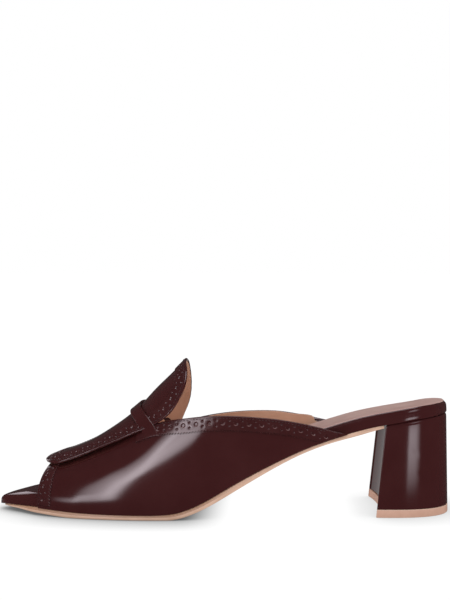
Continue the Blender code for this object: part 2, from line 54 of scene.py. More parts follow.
last = {
    "length": 241.0,
    "upperReach": 2.5,     # the vamp's outer face lies this far outside the footbed
    "soleReach": 1.9,      # and the sole's edge, under the vamp
    "seatCant": 1.65,      # how far the seat's inner edge lies above its middle
    "seatHalf": 26.0,      # at this distance from the middle
    "cantStart": (120, 170), "cantEnd": (222, 240),   # stations between which it comes and goes
    "forefootSkew": 0.05,  # how fast cross lines over the forefoot run back towards the outer side
    # station, inner and outer edge of the footbed
    "plan": [
        (0, 13.6, -13.6), (4, 19.2, -8.6), (10, 23.2, -3.2), (20, 28.0, 4.6),
        (30, 31.8, 10.6), (45, 35.8, 18.4), (60, 38.0, 25.4), (75, 38.9, 31.4),
        (90, 38.4, 35.5), (105, 36.7, 37.0), (120, 33.7, 36.5), (135, 30.4, 34.5),
        (150, 27.7, 31.9), (165, 26.0, 29.5), (180, 25.4, 27.6), (195, 25.8, 26.5),
        (210, 26.0, 26.1), (222, 24.4, 24.4), (232, 19.4, 19.4), (238, 11.2, 11.2),
        (241, 0.0, 0.0),
    ],
    # station, height of the footbed's underside, its thickness
    "profile": [
        (0, 2.8, 3.7), (4, 3.4, 4.5), (10, 3.8, 5.6), (16, 3.9, 6.6), (22, 3.9, 7.1),
        (43, 3.1, 6.3), (60, 2.72, 5.9), (70, 2.62, 5.9), (82, 2.62, 5.8), (91, 2.85, 5.8),
        (98, 3.8, 5.9), (105, 6.0, 6.0), (112.5, 9.4, 6.0), (125.5, 16.6, 6.1), (138.6, 23.5, 6.3),
        (152, 30.0, 6.1), (165, 35.7, 5.6), (178, 40.4, 5.2), (191.5, 44.6, 5.1),
        (200, 46.8, 4.9), (211, 48.7, 5.1), (221, 50.4, 5.2), (231, 51.7, 5.7),
        (241, 52.5, 6.3),
    ],
    # station, thickness of the sole's edge: feathered at the toe, bevelled in the waist
    "sole": [
        (0, 0.7), (12, 1.6), (24, 2.35), (36, 2.8), (60, 2.8), (91, 2.8), (112, 3.2),
        (125, 3.3), (133, 3.0), (143, 2.4), (155, 1.7), (170, 1.4), (182, 1.6), (192, 2.1),
        (199, 1.8), (206, 1.2),
    ],
    # station, height of the upper's crest, how far it lies outwards, exponent of the arch
    "ridge": [
        (18, 18.4, -12.0, 2.50), (25, 23.4, -11.4, 2.45), (31, 26.6, -10.8, 2.40),
        (37, 28.7, -10.1, 2.35), (45.4, 31.9, -9.0, 2.30), (53.5, 35.8, -7.8, 2.25),
        (61.6, 40.6, -6.5, 2.20), (68, 45.1, -5.4, 2.15), (77.7, 53.9, -3.8, 2.10),
        (85.8, 62.2, -2.6, 2.10), (93.8, 70.4, -1.6, 2.10), (99.5, 76.2, -1.0, 2.10),
        (115, 89.4, 0.2, 2.15), (135, 100.4, 0.8, 2.25), (160, 106.4, 0.5, 2.35),
        (190, 108.4, 0.0, 2.45),
    ],
}


def curveThrough(rows, column=1, knots=None):
    # natural cubic spline: between two rows a cubic whose slope and bend carry on into the next
    table = np.array(rows, float)
    knots = table[:, 0] if knots is None else knots
    values = table[:, column]
    steps = np.diff(knots)
    slopes = np.diff(values) / steps
    matrix = np.diag(np.r_[1.0, 2 * (steps[:-1] + steps[1:]), 1.0])
    inner = np.arange(1, len(knots) - 1)
    matrix[inner, inner - 1] = steps[:-1]
    matrix[inner, inner + 1] = steps[1:]
    bends = np.linalg.solve(matrix, np.r_[0.0, 6 * np.diff(slopes), 0.0])

    def valueAt(at):
        at = np.asarray(at, float)
        i = np.clip(np.searchsorted(knots, at) - 1, 0, len(steps) - 1)
        step, before, after = steps[i], at - knots[i], knots[i + 1] - at
        return ((bends[i] * after**3 + bends[i + 1] * before**3) / (6 * step)
                + (values[i] / step - bends[i] * step / 6) * after
                + (values[i + 1] / step - bends[i + 1] * step / 6) * before)

    return valueAt


def stepUp(value, low, high):
    # 0 below low, 1 above high, a smooth rise between
    t = np.clip((np.asarray(value, float) - low) / (high - low), 0, 1)
    return t * t * (3 - 2 * t)


def dip(value, centre, width):
    # 1 at the centre, falling off on a bell curve
    return np.exp(-((np.asarray(value, float) - centre) / width) ** 2)


def unit(vectors):
    # each vector over its own length
    return vectors / np.linalg.norm(vectors, axis=-1, keepdims=True)


def planAngle(station):
    # the angle that rounds toe and heel in plan: 0 at the toe tip, pi at the back
    return np.arccos(np.clip(1 - 2 * np.asarray(station, float) / last["length"], -1, 1))


planKnots = planAngle([row[0] for row in last["plan"]])
innerPlan = curveThrough(last["plan"], 1, planKnots)
outerPlan = curveThrough(last["plan"], 2, planKnots)
boardUnder = curveThrough(last["profile"], 1)
boardThickness = curveThrough(last["profile"], 2)
soleThickness = curveThrough(last["sole"])
crestHeight = curveThrough(last["ridge"], 1)
crestSide = curveThrough(last["ridge"], 2)
crestArch = curveThrough(last["ridge"], 3)


def sideReach(station, innerSide):
    # from the crest out to the upper's outer face at the sole, on one side
    side = crestSide(station)
    inner = side + innerPlan(planAngle(station)) + last["upperReach"]
    outer = outerPlan(planAngle(station)) + last["upperReach"] - side
    return np.where(innerSide, inner, outer)


def upperAt(station, sideways):
    # the upper's outer face: at each station an arch, height = base + rise (1 - share^n)^(1/n),
    # where share is the distance from the crest over the reach to that side
    away = sideways - crestSide(station)
    arch, base = crestArch(station), boardUnder(station)
    share = np.clip(np.abs(away) / sideReach(station, away < 0), 0, 1)
    height = base + (crestHeight(station) - base) * (1 - share**arch) ** (1 / arch)
    return np.stack([station + 0 * height, sideways + 0 * height, height], axis=-1)


def upperTurned(station, turn):
    # the same face by a turn about the crest: 0 inner edge, 90 crest, 180 outer edge
    angle = np.radians(turn)
    power, base = 2 / crestArch(station), boardUnder(station)
    reach = sideReach(station, turn < 90) * np.where(turn < 90, -1, 1)
    sideways = crestSide(station) + reach * np.abs(np.cos(angle)) ** power
    height = base + (crestHeight(station) - base) * np.sin(angle).clip(0, 1) ** power
    return np.stack([station + 0 * height, sideways, height], axis=-1)


def turnAtHeight(station, height):
    # the turn, 0 to 90, where the arch reaches a height
    base = boardUnder(station)
    share = np.clip((height - base) / (crestHeight(station) - base), 0, 1)
    return np.degrees(np.arcsin(share ** (crestArch(station) / 2)))


def upperNormal(station, sideways):
    # square to the face: the cross product of small steps along and across it
    step = 0.2
    along = upperAt(station + step, sideways) - upperAt(station - step, sideways)
    across = upperAt(station, sideways + step) - upperAt(station, sideways - step)
    return unit(np.cross(along, across))


def gridNormal(grid):
    # square to a grid: the cross product of its steps down and along its rows
    return unit(np.cross(np.gradient(grid, axis=0), np.gradient(grid, axis=1)))


# meshes from grids

def runningLength(points, axis=0):
    # distance along each line of a grid, from its first point
    steps = np.linalg.norm(np.diff(points, axis=axis), axis=-1)
    return np.concatenate([np.zeros_like(steps.take([0], axis)), np.cumsum(steps, axis)], axis)


def edgeRound(distance, radius):
    # a quarter circle that rises from 0 at an edge to 1 one radius away from it
    return np.sqrt(1 - (1 - np.clip(distance / radius, 0, 1)) ** 2)


def edgeSteps(length, radius, spacing):
    # places from 0 to length, close together within a radius of both ends
    near = radius * np.array([0, 0.06, 0.22, 0.5, 0.85, 1.3])
    middle = np.linspace(near[-1], length - near[-1], max(2, round(length / spacing)))
    return np.r_[near[:-1], middle, length - near[-2::-1]]


def gridFaces(index):
    # one four-sided face for each cell of a grid of point numbers, or of several such grids
    corners = [index[..., :-1, :-1], index[..., :-1, 1:], index[..., 1:, 1:], index[..., 1:, :-1]]
    return np.stack(corners, -1).reshape(-1, 4)


def sheetMesh(outer, inner):
    # two faces that share the points of their border
    rows, columns = outer.shape[:2]
    top = np.arange(rows * columns).reshape(rows, columns)
    inside = np.zeros(top.shape, bool)
    inside[1:-1, 1:-1] = True
    under = top.copy()
    under[inside] = rows * columns + np.arange(inside.sum())
    points = np.concatenate([outer.reshape(-1, 3), inner[inside]])
    return points, np.concatenate([gridFaces(top), gridFaces(under)[:, ::-1]]), inside


def addSheet(name, base, normal, low, high, radius, finish, replaced=(), distance=None):
    # leather over a grid: its faces lie low and high above it and meet on a rounded border, where
    # they part as a quarter circle of the distance from the border does
    if distance is None:
        down, right = runningLength(base, 0), runningLength(base, 1)
        distance = np.minimum.reduce([down, down[-1:] - down, right, right[:, -1:] - right])
    middle, half = (low + high) / 2, (high - low) / 2
    swell = half * edgeRound(distance, radius)
    outer = base + normal * np.asarray(middle + swell)[..., None]
    inner = base + normal * np.asarray(middle - swell)[..., None]
    points, faces, inside = sheetMesh(outer, inner)
    rim = 1 - np.clip(distance / (2 * radius), 0, 1)
    rim = np.r_[rim.ravel(), rim[inside]]
    addPiece(name, points, faces.tolist(), finish, replaced, {"rim": rim})


def addStack(name, rings, finish, replaced, middles=None, marks=None):
    # a stack of rings joined from first to last. A ring runs down one side and back up the other,
    # and the stack's ends are closed by strips across, or by fans about two middle points.
    layers, size = len(rings), len(rings[0])
    index = np.arange(layers * size).reshape(layers, size)
    faces = gridFaces(np.c_[index, index[:, 0]]).tolist()
    for k, row in enumerate((index[0], index[-1])):
        if middles is None:
            side, back = row[:size // 2], row[::-1][:size // 2]
            faces += np.stack([side[:-1], side[1:], back[1:], back[:-1]], -1).tolist()
        else:
            middle = np.full(size, layers * size + k)
            faces += np.stack([row, np.roll(row, -1), middle], -1).tolist()
    points = np.concatenate(rings if middles is None else [*rings, middles])
    addPiece(name, points, faces, finish, replaced, marks)


def addPiece(name, points, faces, finish, replaced=(), marks=None):
    # a finished piece of the shoe, from points in mm on its ruler
    mesh = bpy.data.meshes.new(name)
    mesh.from_pydata((points * mm + rulerStart).tolist(), [], faces)
    for mark, values in (marks or {}).items():
        attribute = mesh.attributes.new(mark, "FLOAT", "POINT")
        attribute.data.foreach_set("value", values.astype(np.float32))
    mesh.materials.append(finish)
    work = bmesh.new()
    work.from_mesh(mesh)
    bmesh.ops.recalc_face_normals(work, faces=work.faces)
    work.to_mesh(mesh)
    work.free()
    mesh.shade_smooth()
    piece = bpy.data.objects.new(name, mesh)
    bpy.context.collection.objects.link(piece)
    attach(piece, "root")
    if replaced:
        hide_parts(*replaced)


# finishes

def newGroup(name, inputs, outputs):
    # a shader group with named inputs and outputs, and its two end nodes
    group = bpy.data.node_groups.new(name, "ShaderNodeTree")
    for label, value in inputs.items():
        socket = group.interface.new_socket(label, in_out="INPUT", socket_type="NodeSocketFloat")
        socket.default_value = value
    for label in outputs:
        group.interface.new_socket(label, in_out="OUTPUT", socket_type="NodeSocketFloat")
    return group, group.nodes.new("NodeGroupInput"), group.nodes.new("NodeGroupOutput")


def feed(tree, node, inputs):
    # gives inputs their values: a number, a colour or another node's output
    for label, value in inputs.items():
        if isinstance(value, bpy.types.NodeSocket):
            tree.links.new(value, node.inputs[label])
        else:
            node.inputs[label].default_value = value


def addNode(tree, kind, inputs=None, **settings):
    # a shader node with its settings and inputs
    node = tree.nodes.new("ShaderNode" + kind)
    for setting, value in settings.items():
        setattr(node, setting, value)
    feed(tree, node, inputs or {})
    return node


def mathNode(tree, operation, first, second, clamp=False):
    # one operation on two sockets or numbers
    node = addNode(tree, "Math", {0: first, 1: second}, operation=operation, use_clamp=clamp)
    return node.outputs[0]


def mapRange(tree, value, low, high, results=(0, 1), **settings):
    # carries a value from between low and high to the range of results, and holds it there
    inputs = {"Value": value, "From Min": low, "From Max": high,
              "To Min": results[0], "To Max": results[1]}
    return addNode(tree, "MapRange", inputs, **settings).outputs["Result"]


def colourMix(tree, share, first, second):
    # from the first colour to the second by a share
    node = addNode(tree, "Mix", {"Factor": share, "A": first, "B": second}, data_type="RGBA")
    return node.outputs["Result"]


def makeGrainGroup():
    # fine pores, fibre and soft clouds of a tanned hide: the height is pores and fibre, the tone is
    # the clouds, and the polish is 0.6 of the clouds and 0.4 of the fibre
    group, given, result = newGroup(
        "hideGrain", {"Pores Per Metre": 1400.0, "Clouds Per Metre": 45.0, "Fibre": 0.35},
        ["Height", "Tone", "Polish"])
    place = addNode(group, "TexCoord").outputs["Object"]
    poreScale, cloudScale = given.outputs["Pores Per Metre"], given.outputs["Clouds Per Metre"]
    fibreScale = mathNode(group, "MULTIPLY", poreScale, 0.6)
    pores = addNode(group, "TexVoronoi", {"Vector": place, "Scale": poreScale}).outputs["Distance"]
    noises = []
    for inputs in ({"Scale": fibreScale, "Detail": 4},
                   {"Scale": cloudScale, "Detail": 5, "Roughness": 0.6}):
        noises.append(addNode(group, "TexNoise", {"Vector": place, **inputs}).outputs["Fac"])
    fibre, clouds = noises
    raised = mathNode(group, "MULTIPLY", fibre, given.outputs["Fibre"])
    fibrePart = mathNode(group, "MULTIPLY", fibre, 0.4)
    cloudPart = mathNode(group, "MULTIPLY", clouds, 0.6)
    feed(group, result, {
        "Height": mathNode(group, "ADD", pores, raised),
        "Tone": clouds,
        "Polish": mathNode(group, "ADD", cloudPart, fibrePart),
    })
    return group


def makeRimGroup():
    # where a piece's edge or a punched hole shows the leather under its finish, and where the
    # punched facings have a painted highlight on their holes' far lips: the larger of the two marks,
    # less a fine noise
    group, given, result = newGroup("cutEdgeAndLipHighlight", {"Rim": 1.0, "Pit": 1.0, "Breakup": 0.4}, ["Mask"])
    marks = []
    for mark, share in (("rim", "Rim"), ("pit", "Pit")):
        attribute = addNode(group, "Attribute", attribute_name=mark)
        marks.append(mathNode(group, "MULTIPLY", attribute.outputs["Fac"], given.outputs[share]))
    place = addNode(group, "TexCoord").outputs["Object"]
    noise = addNode(group, "TexNoise", {"Vector": place, "Scale": 900})
    wearAndLipHighlight = mathNode(group, "MULTIPLY", noise.outputs["Fac"], given.outputs["Breakup"])
    both = mathNode(group, "SUBTRACT", mathNode(group, "MAXIMUM", *marks), wearAndLipHighlight, clamp=True)
    feed(group, result, {"Mask": both})
    return group


grainGroup, rimGroup = makeGrainGroup(), makeRimGroup()


def makeFinish(name, look):
    # one Principled shader: two tones of the hide in clouds, a third where the rim and pit marks lie
    # (cut edges, and on punched leather also a painted highlight on the holes' far lips), pores as
    # bump
    material = bpy.data.materials.new(name)
    material.use_nodes = True
    tree = material.node_tree
    grain = addNode(tree, "Group", {
        "Pores Per Metre": look["pores"], "Clouds Per Metre": look["clouds"], "Fibre": look["fibre"],
    }, node_tree=grainGroup).outputs
    clouds = mapRange(tree, grain["Tone"], 0.35, 0.65)
    colour = colourMix(tree, clouds, (*look["deep"], 1), (*look["light"], 1))
    rough = mapRange(tree, grain["Polish"], 0.3, 0.7, look["roughness"])
    if "cut" in look:
        edge = addNode(tree, "Group", {"Rim": look["rim"], "Pit": look["pit"]}, node_tree=rimGroup)
        mask = edge.outputs["Mask"]
        colour = colourMix(tree, mask, colour, (*look["cut"], 1))
        if "cutRough" in look:
            rough = mathNode(tree, "ADD", rough, mathNode(tree, "MULTIPLY", mask, look["cutRough"]))
    bump = addNode(tree, "Bump", {
        "Strength": look["bump"], "Distance": look["poreDepth"] * mm, "Height": grain["Height"],
    })
    feed(tree, tree.nodes["Principled BSDF"], {
        "Base Color": colour, "Roughness": rough, "Normal": bump.outputs["Normal"],
        "Sheen Weight": look.get("sheen", 0),
    })
    return material


# colours of the hide's two tones and of its cut edges (on punched leather also a painted highlight
# on the holes' far lips), how much the edge marks show, pores and clouds to the metre, share of
# fibre, least and greatest roughness, and the pores' depth in mm
finishes = {
    "burgundy": makeFinish("burgundyCalf", {
        "deep": (0.043, 0.0085, 0.009), "light": (0.050, 0.0110, 0.0115),
        "cut": (0.085, 0.022, 0.020),
        "rim": 0.5, "pit": 0.0, "pores": 2600, "clouds": 40, "fibre": 0.5,
        "roughness": (0.10, 0.13), "bump": 0.08, "poreDepth": 0.03,
    }),
    "punched": makeFinish("punchedCalf", {
        "deep": (0.043, 0.0085, 0.009), "light": (0.052, 0.0115, 0.012),
        # its cut colour is the leather's inside at hole walls and pinked edges, and also a painted
        # highlight on the large holes' far lips
        "cut": (0.21, 0.088, 0.085), "cutRough": 0.45,    # how much rougher the cut leather is
        "rim": 0.4, "pit": 1.0, "pores": 2600, "clouds": 90, "fibre": 0.6,
        "roughness": (0.13, 0.19), "bump": 0.15, "poreDepth": 0.04,
    }),
    "lining": makeFinish("nudeLining", {
        "deep": (0.61, 0.335, 0.215), "light": (0.70, 0.415, 0.275),
        "pores": 1900, "clouds": 60, "fibre": 0.8,
        "roughness": (0.5, 0.62), "bump": 0.25, "poreDepth": 0.05, "sheen": 0.05,
    }),
    "sock": makeFinish("nudeSock", {
        "deep": (0.50, 0.30, 0.265), "light": (0.57, 0.37, 0.33),
        "pores": 1900, "clouds": 50, "fibre": 0.7,
        "roughness": (0.42, 0.52), "bump": 0.2, "poreDepth": 0.05,
    }),
    "sole": makeFinish("tanSole", {
        "deep": (0.64, 0.395, 0.28), "light": (0.72, 0.46, 0.335),
        "cut": (0.40, 0.20, 0.11),
        "rim": 1.0, "pit": 0.0, "pores": 1500, "clouds": 120, "fibre": 0.9,
        "roughness": (0.38, 0.5), "bump": 0.2, "poreDepth": 0.05,
    }),
    "topPiece": makeFinish("tanTopPiece", {
        "deep": (0.60, 0.34, 0.245), "light": (0.65, 0.38, 0.28),
        "cut": (0.68, 0.46, 0.36),
        "rim": 0.8, "pit": 0.0, "pores": 1200, "clouds": 150, "fibre": 0.8,
        "roughness": (0.42, 0.52), "bump": 0.15, "poreDepth": 0.04,
    }),
    "thread": makeFinish("waxedThread", {
        "deep": (0.028, 0.006, 0.007), "light": (0.05, 0.012, 0.013),
        "pores": 4000, "clouds": 400, "fibre": 0.5,
        "roughness": (0.4, 0.5), "bump": 0.3, "poreDepth": 0.03,
    }),
}
print("finishes made")

# the sole, the footbed and the heel

plate = {
    "sideSteps": 170,       # points down each side of the plan
    "soleEnd": 204.8,       # station of the heel's front face, where the sole stops
    "weltStrip": 0.42,      # share of the sole's edge that the darker strip along its top takes
    "gap": 0.3,             # left between glued pieces
    "tipGap": 0.4,          # left open at the very tip of the toe and of the back
    "rimRound": 1.15,       # radius of the footbed's wrapped edge
    "toeRound": 5.5,        # at the toe that edge is a wide roll, this far across
    "backRound": 1.2,       # and this much wider at the back, where it is also drawn in
    "backInset": 0.5,
    # the wrapped edge from below up to its shoulder: distance outwards, share of the height
    "rimSide": [(-3.0, 0.0), (-0.55, 0.0), (-0.12, 0.02), (0.04, 0.06), (0.10, 0.12), (0.06, 0.33)],
    # and from the shoulder inwards: distance, share of the sock's recess
    "rimTop": [(0.35, 0), (0.5, 0.35), (0.6, 1.0), (2.3, 1.0)],
    "sockInset": 1.9,
    "sockFront": 46.0,
    "sockThickness": 0.9,
    # the sole's edge: inset, level from its underside, 0, over the lower edge of the strip, 1, to
    # its top, 2, and how dark it is
    "soleLayers": [
        (6.0, 0.0, 0), (1.0, 0.0, 0), (0.55, 0.04, 0), (0.25, 0.14, 0), (0.06, 0.3, 0),
        (0.0, 0.5, 0), (0.0, 0.92, 0), (0.05, 1.0, 0.6), (0.16, 1.08, 1), (0.18, 1.7, 1),
        (0.26, 2.0, 1), (6.0, 2.0, 0),
    ],
}


def planStations(start, stop, count):
    # even in the plan's angle, so closer together at the toe and the heel, and both come out round
    angle = np.linspace(planAngle(start), planAngle(stop), count)
    return last["length"] * (1 - np.cos(angle)) / 2


def planRing(stations, reach, heightAt):
    # once round the plan, moved out by reach: inner side towards the heel, outer side back
    angle = planAngle(stations)
    inner = np.stack([stations, -innerPlan(angle)], axis=-1)
    outer = np.stack([stations, outerPlan(angle)], axis=-1)[::-1]
    heading = unit(np.concatenate([np.gradient(inner, axis=0), np.gradient(outer, axis=0)]))
    outwards = np.stack([heading[:, 1], -heading[:, 0]], axis=-1)
    reach = np.broadcast_to(reach, 2 * len(stations))[:, None]
    moved = np.concatenate([inner, outer]) + outwards * reach
    return np.column_stack([moved, heightAt(np.clip(moved[:, 0], 0, last["length"]), moved[:, 1])])


def boardHeight(station, sideways, share):
    # the footbed from its underside, 0, to its top, 1, which is canted along the seat
    cant = stepUp(station, *last["cantStart"]) * (1 - 0.7 * stepUp(station, *last["cantEnd"]))
    cant *= -last["seatCant"] * sideways / last["seatHalf"]
    return boardUnder(station) + (boardThickness(station) + cant) * share


def sockRecess(station):
    # depth of the footbed's recess, which comes in smoothly in front of the sock
    front = plate["sockFront"]
    return 0.9 * plate["sockThickness"] * stepUp(station, front - 14, front - 6)


def buildFootbed():
    # leather wrapped over the board's edge: flat side, a shoulder that is a quarter of an ellipse,
    # wide at the toe and a tight round elsewhere, and a recess for the sock
    stations = planStations(plate["tipGap"], last["length"] - plate["tipGap"], plate["sideSteps"])
    s = np.r_[stations, stations[::-1]]
    tip, atToe, atBack = stepUp(s, 0, 12), 1 - stepUp(s, 34, 46), stepUp(s, 230, 240)
    wide = plate["rimRound"] + (plate["toeRound"] - plate["rimRound"]) * atToe * (0.12 + 0.88 * tip)
    wide = wide + plate["backRound"] * atBack
    low = 0.48 + 0.04 * atToe
    rim = [(reach, share, 0) for reach, share in plate["rimSide"]]
    for a in np.linspace(0, math.pi / 2, 13):
        rim.append((-wide * (1 - math.cos(a)), low + (1 - low) * math.sin(a), 0))
    spare = 0.3 + 0.7 * tip
    for inwards, sunk in plate["rimTop"]:
        rim.append((-wide - inwards * spare, 1.0, sunk))
    rings = []
    for reach, share, sunk in rim:
        def heightAt(x, y):
            return boardHeight(x, y, share) - sunk * sockRecess(x)

        rings.append(planRing(stations, reach - plate["backInset"] * atBack, heightAt))
    addStack("footbedLeather", rings, finishes["burgundy"], ["footbed"])


def buildSock():
    # a thin layer in the footbed's recess, its edge a quarter of an ellipse
    stations = planStations(plate["tipGap"], last["length"] - plate["tipGap"], plate["sideSteps"])
    stations = stations[stations > plate["sockFront"]]
    rim = [(0.3, 0.0), (0.05, 0.1)]
    for a in np.linspace(0, math.pi / 2, 6):
        rim.append((0.35 * (1 - math.cos(a)), 0.6 + 0.4 * math.sin(a)))
    rim.append((2.5, 1.02))
    rings = []
    for inwards, lift in rim:
        def heightAt(x, y):
            return boardHeight(x, y, 1.0) - sockRecess(x) + 0.12 + lift * plate["sockThickness"]

        rings.append(planRing(stations, -plate["sockInset"] - inwards, heightAt))
    addStack("sockLining", rings, finishes["sock"], ["sock_lining"])


def buildOutsole():
    # level where the shoe stands, edge dressed in two steps: a dark strip over the pale leather
    end = plate["soleEnd"]
    stations = np.r_[planStations(1.6, 60, 90), np.linspace(60, end, 120)[1:]]
    s = np.r_[stations, stations[::-1]]
    underVamp = stepUp(s, 10, 24) * (1 - stepUp(s, 178, 196))
    edge = -0.3 - 1.2 * (1 - stepUp(s, 0, 9)) + (last["soleReach"] + 0.3) * underVamp
    stripDark = 1 - stepUp(s, 108, 135)
    rings, dark = [], []
    for inset, level, darkness in plate["soleLayers"]:
        def heightAt(x, y):
            top = boardUnder(x) - plate["gap"] * 0.2
            bottom = np.maximum(top - plate["gap"] * 0.8 - soleThickness(x), 0)
            strip = top - (top - bottom) * plate["weltStrip"]
            return bottom + (strip - bottom) * min(level, 1) + (top - strip) * max(level - 1, 0)

        ring = planRing(stations, edge - inset, heightAt)
        ring[[len(stations) - 1, len(stations)], 0] = end
        rings.append(ring)
        dark.append(darkness * stripDark)
    addStack("soleLeather", rings, finishes["sole"], ["outsole"],
             marks={"rim": np.concatenate(dark)})


heel = {
    "height": 50.0,          # from the floor to the seat, over which its widths change
    "frontFloor": heelFront, "frontSeat": 205.6,
    "backFloor": 240.6, "backSeat": 240.0,
    "halfFloor": 27.4, "halfSeat": 25.4,
    "hollow": 3.6,           # depth of the curve in its front face
    "squareness": 2.7,
    "topPieceHeight": 4.2,
    "coverLap": 1.7,         # how far the cover is turned round the front corner
    "coverStep": 0.5,        # and how far it stands out from the front panel
    "cornerRound": 0.9,
    "coverGap": 0.12,        # between the wearing piece and the cover
    "coverLength": 46.0, "layers": 54,
    # how far the cover is drawn in at its foot and at the seat, and over which length
    "drawFoot": (0.28, 0.35), "drawSeat": (1.0, 1.4),
    # soft dents in the near side's cover: station, height, width, tallness, depth
    "dents": [(221.0, 33.0, 1.4, 2.0, 0.07), (226.0, 22.5, 2.2, 1.5, 0.09)],
    "middle": 222.0,         # station about which its ends are closed
}


def bend(before, corner, after, radius, count):
    # a rounded corner: the parabola that leaves both sides at a radius from the corner
    start = corner + unit(before - corner) * radius
    stop = corner + unit(after - corner) * radius
    t = np.linspace(0, 1, count)[:, None]
    return start * (1 - t) ** 2 + 2 * corner * t * (1 - t) + stop * t**2


def heelSide(share, inset, detailed):
    # one side of the heel's plan, from its front middle to its back middle, share 0 on the floor:
    # a parabola for the hollow front, the cover's lap, a round corner, and a superellipse
    front = heel["frontFloor"] + (heel["frontSeat"] - heel["frontFloor"]) * share + inset
    back = heel["backFloor"] + (heel["backSeat"] - heel["backFloor"]) * share - inset
    half = heel["halfFloor"] + (heel["halfSeat"] - heel["halfFloor"]) * share - inset
    step = heel["coverStep"] if detailed else 0.0

    def panel(y, sunk):
        return np.stack([front + heel["hollow"] * (1 - (y / half) ** 2) + sunk, -y], axis=-1)

    fold = half - heel["coverLap"]
    hollow = panel(np.linspace(0.02 * half, fold, 22), step)
    corner = np.array([front, -half])
    foldTop = panel(np.array(fold), 0.0)
    if detailed:
        lap = bend(panel(np.array(fold), step), foldTop, corner, 0.45, 6)
    else:
        lap = foldTop[None]
    power = 2 / heel["squareness"]
    length = back - front
    start = math.asin((heel["cornerRound"] / length) ** (1 / power))
    angle = np.linspace(start, math.pi / 2, 60)
    sweep = np.stack([front + length * np.sin(angle) ** power,
                      -half * np.cos(angle) ** power], axis=-1)
    turned = bend(foldTop, corner, corner + (1.0, 0.0), heel["cornerRound"], 7)
    return np.concatenate([hollow, lap, turned, sweep[1:-1], [[back, -0.02]]])


def heelRing(share, inset, detailed=True):
    # one side and its mirror image
    side = heelSide(share, inset, detailed)
    return np.concatenate([side, side[::-1] * (1, -1)])


def buildHeel():
    # layers from the wearing piece to the seat, drawn in a little at both ends like stretched
    # leather, with dents pushed in along y on bell curves that lean with the height
    foot, length = heel["topPieceHeight"] + heel["coverGap"], heel["coverLength"]
    gap = plate["gap"] * 0.4
    rings = []
    for t in edgeSteps(length, 0.5, length / heel["layers"]) / length:
        amount, over = heel["drawFoot"]
        draw = amount * (1 - edgeRound(t * length, over))
        amount, over = heel["drawSeat"]
        draw += amount * (1 - edgeRound((1 - t) * length, over))
        plan = heelRing(foot / heel["height"] * (1 - t) + t, float(draw))
        top = boardUnder(np.clip(plan[:, 0], 0, last["length"])) - gap
        ring = np.column_stack([plan, foot + (top - foot) * t])
        for station, height, wide, tall, depth in heel["dents"]:
            leaning = ring[:, 0] + 0.5 * (ring[:, 2] - height)
            push = depth * dip(leaning, station, wide) * dip(ring[:, 2], height, tall)
            ring[:, 1] += push * (ring[:, 1] < 0)
        rings.append(ring)
    middle = heel["middle"]
    addStack("heelCover", rings, finishes["burgundy"], ["heel_block"],
             np.array([[middle, 0.0, foot], [middle, 0.0, boardUnder(middle) - gap]]))


def buildTopPiece():
    # the wearing piece: a bevel where it meets the floor and a fine raised line under the cover
    tall = heel["topPieceHeight"]
    # height, inset, and whether it is part of that line
    layers = [(0.0, 0.35, 0), (0.05, 0.2, 0), (0.2, 0.06, 0), (0.45, 0.0, 0),
              (tall - 0.55, 0.0, 0), (tall - 0.45, 0.0, 1), (tall - 0.15, -0.02, 1),
              (tall - 0.03, 0.05, 1), (tall, 0.3, 1)]
    rings, lines = [], []
    for height, inset, line in layers:
        plan = heelRing(height / heel["height"], inset, False)
        rings.append(np.column_stack([plan, np.full(len(plan), height)]))
        lines.append(np.full(len(plan), line, float))
    middle = heel["middle"]
    addStack("heelTopPiece", rings, finishes["topPiece"], ["top_piece"],
             np.array([[middle, 0.0, 0.0], [middle, 0.0, tall]]),
             {"rim": np.r_[np.concatenate(lines), 0, 0]})


buildOutsole()
buildFootbed()
buildSock()
buildHeel()
buildTopPiece()
print("sole, footbed and heel made")

# the vamp

keeper = {
    "station": 75.2, "width": 8.0,
    "sweep": 10.6,           # how far its ends lie behind its middle
    "innerLength": 29.2, "outerLength": 36.6,
    # how much longer its back edge is than its front, and the shares of its width that it has in
    # the middle and that its ends add
    "flare": (2.4, 0.6, 0.3),
    "thickness": 1.3, "endThickness": 0.3,
    "crown": 3.45,           # height of its underside over the crest
    "foot": -0.1,            # and what that would fall to a little past its ends
    "fallInner": (0.33, 1.16), "fallOuter": (0.5, 1.19),   # where it falls, as shares of its length
    "skived": (0.7, 1.0),    # and where it is thinned
    "edgeRound": 0.35,
    # shares of its length at which the topline follows its back
    "innerKnots": (0.0, 0.4, 0.75), "outerKnots": (0.0, 0.384, 0.72, 0.825),
}

vamp = {
    "leather": 1.05, "wall": 1.7,
    "edgeRound": 0.5, "liningRound": 0.3,
    "liningInset": (0.3, -0.08),   # on the inner and on the outer side
    "glue": 0.03,                  # between the leather and the lining
    "rows": 150, "halfColumns": 76,
    "crowding": 1.35,              # columns are closer together near the sole by this power
    "length": 60.0,                # along the crest, for the rows at its edges
    "toplineEnd": 186.0,
    # station and height of the topline on each side
    "toplineInner": [(84, 47.7), (92, 49.8), (100, 51.2), (111, 52.6), (125.5, 52.9), (138.6, 52.1),
                     (150, 50.9), (160, 49.2), (170, 47.0), (180, 44.4)],
    "toplineOuter": [(87, 38.6), (94, 40.6), (102, 42.7), (111, 44.6), (125.5, 46.5), (138.6, 47.3),
                     (150, 47.2), (160, 46.0), (170, 44.2), (180, 42.3)],
    # turn about the crest and station of the front edge
    "toeOpening": [
        (0, 24.0), (30, 24.3), (60, 26.3), (90, 28.6), (120, 28.4), (150, 28.4), (180, 29.4),
    ],
}


def keeperCentre(sideways, length):
    # station of the keeper's centre line at a distance from the crest: a parabola on the skew
    swept = keeper["station"] + keeper["sweep"] * (sideways / length) ** 2
    return swept + last["forefootSkew"] * sideways


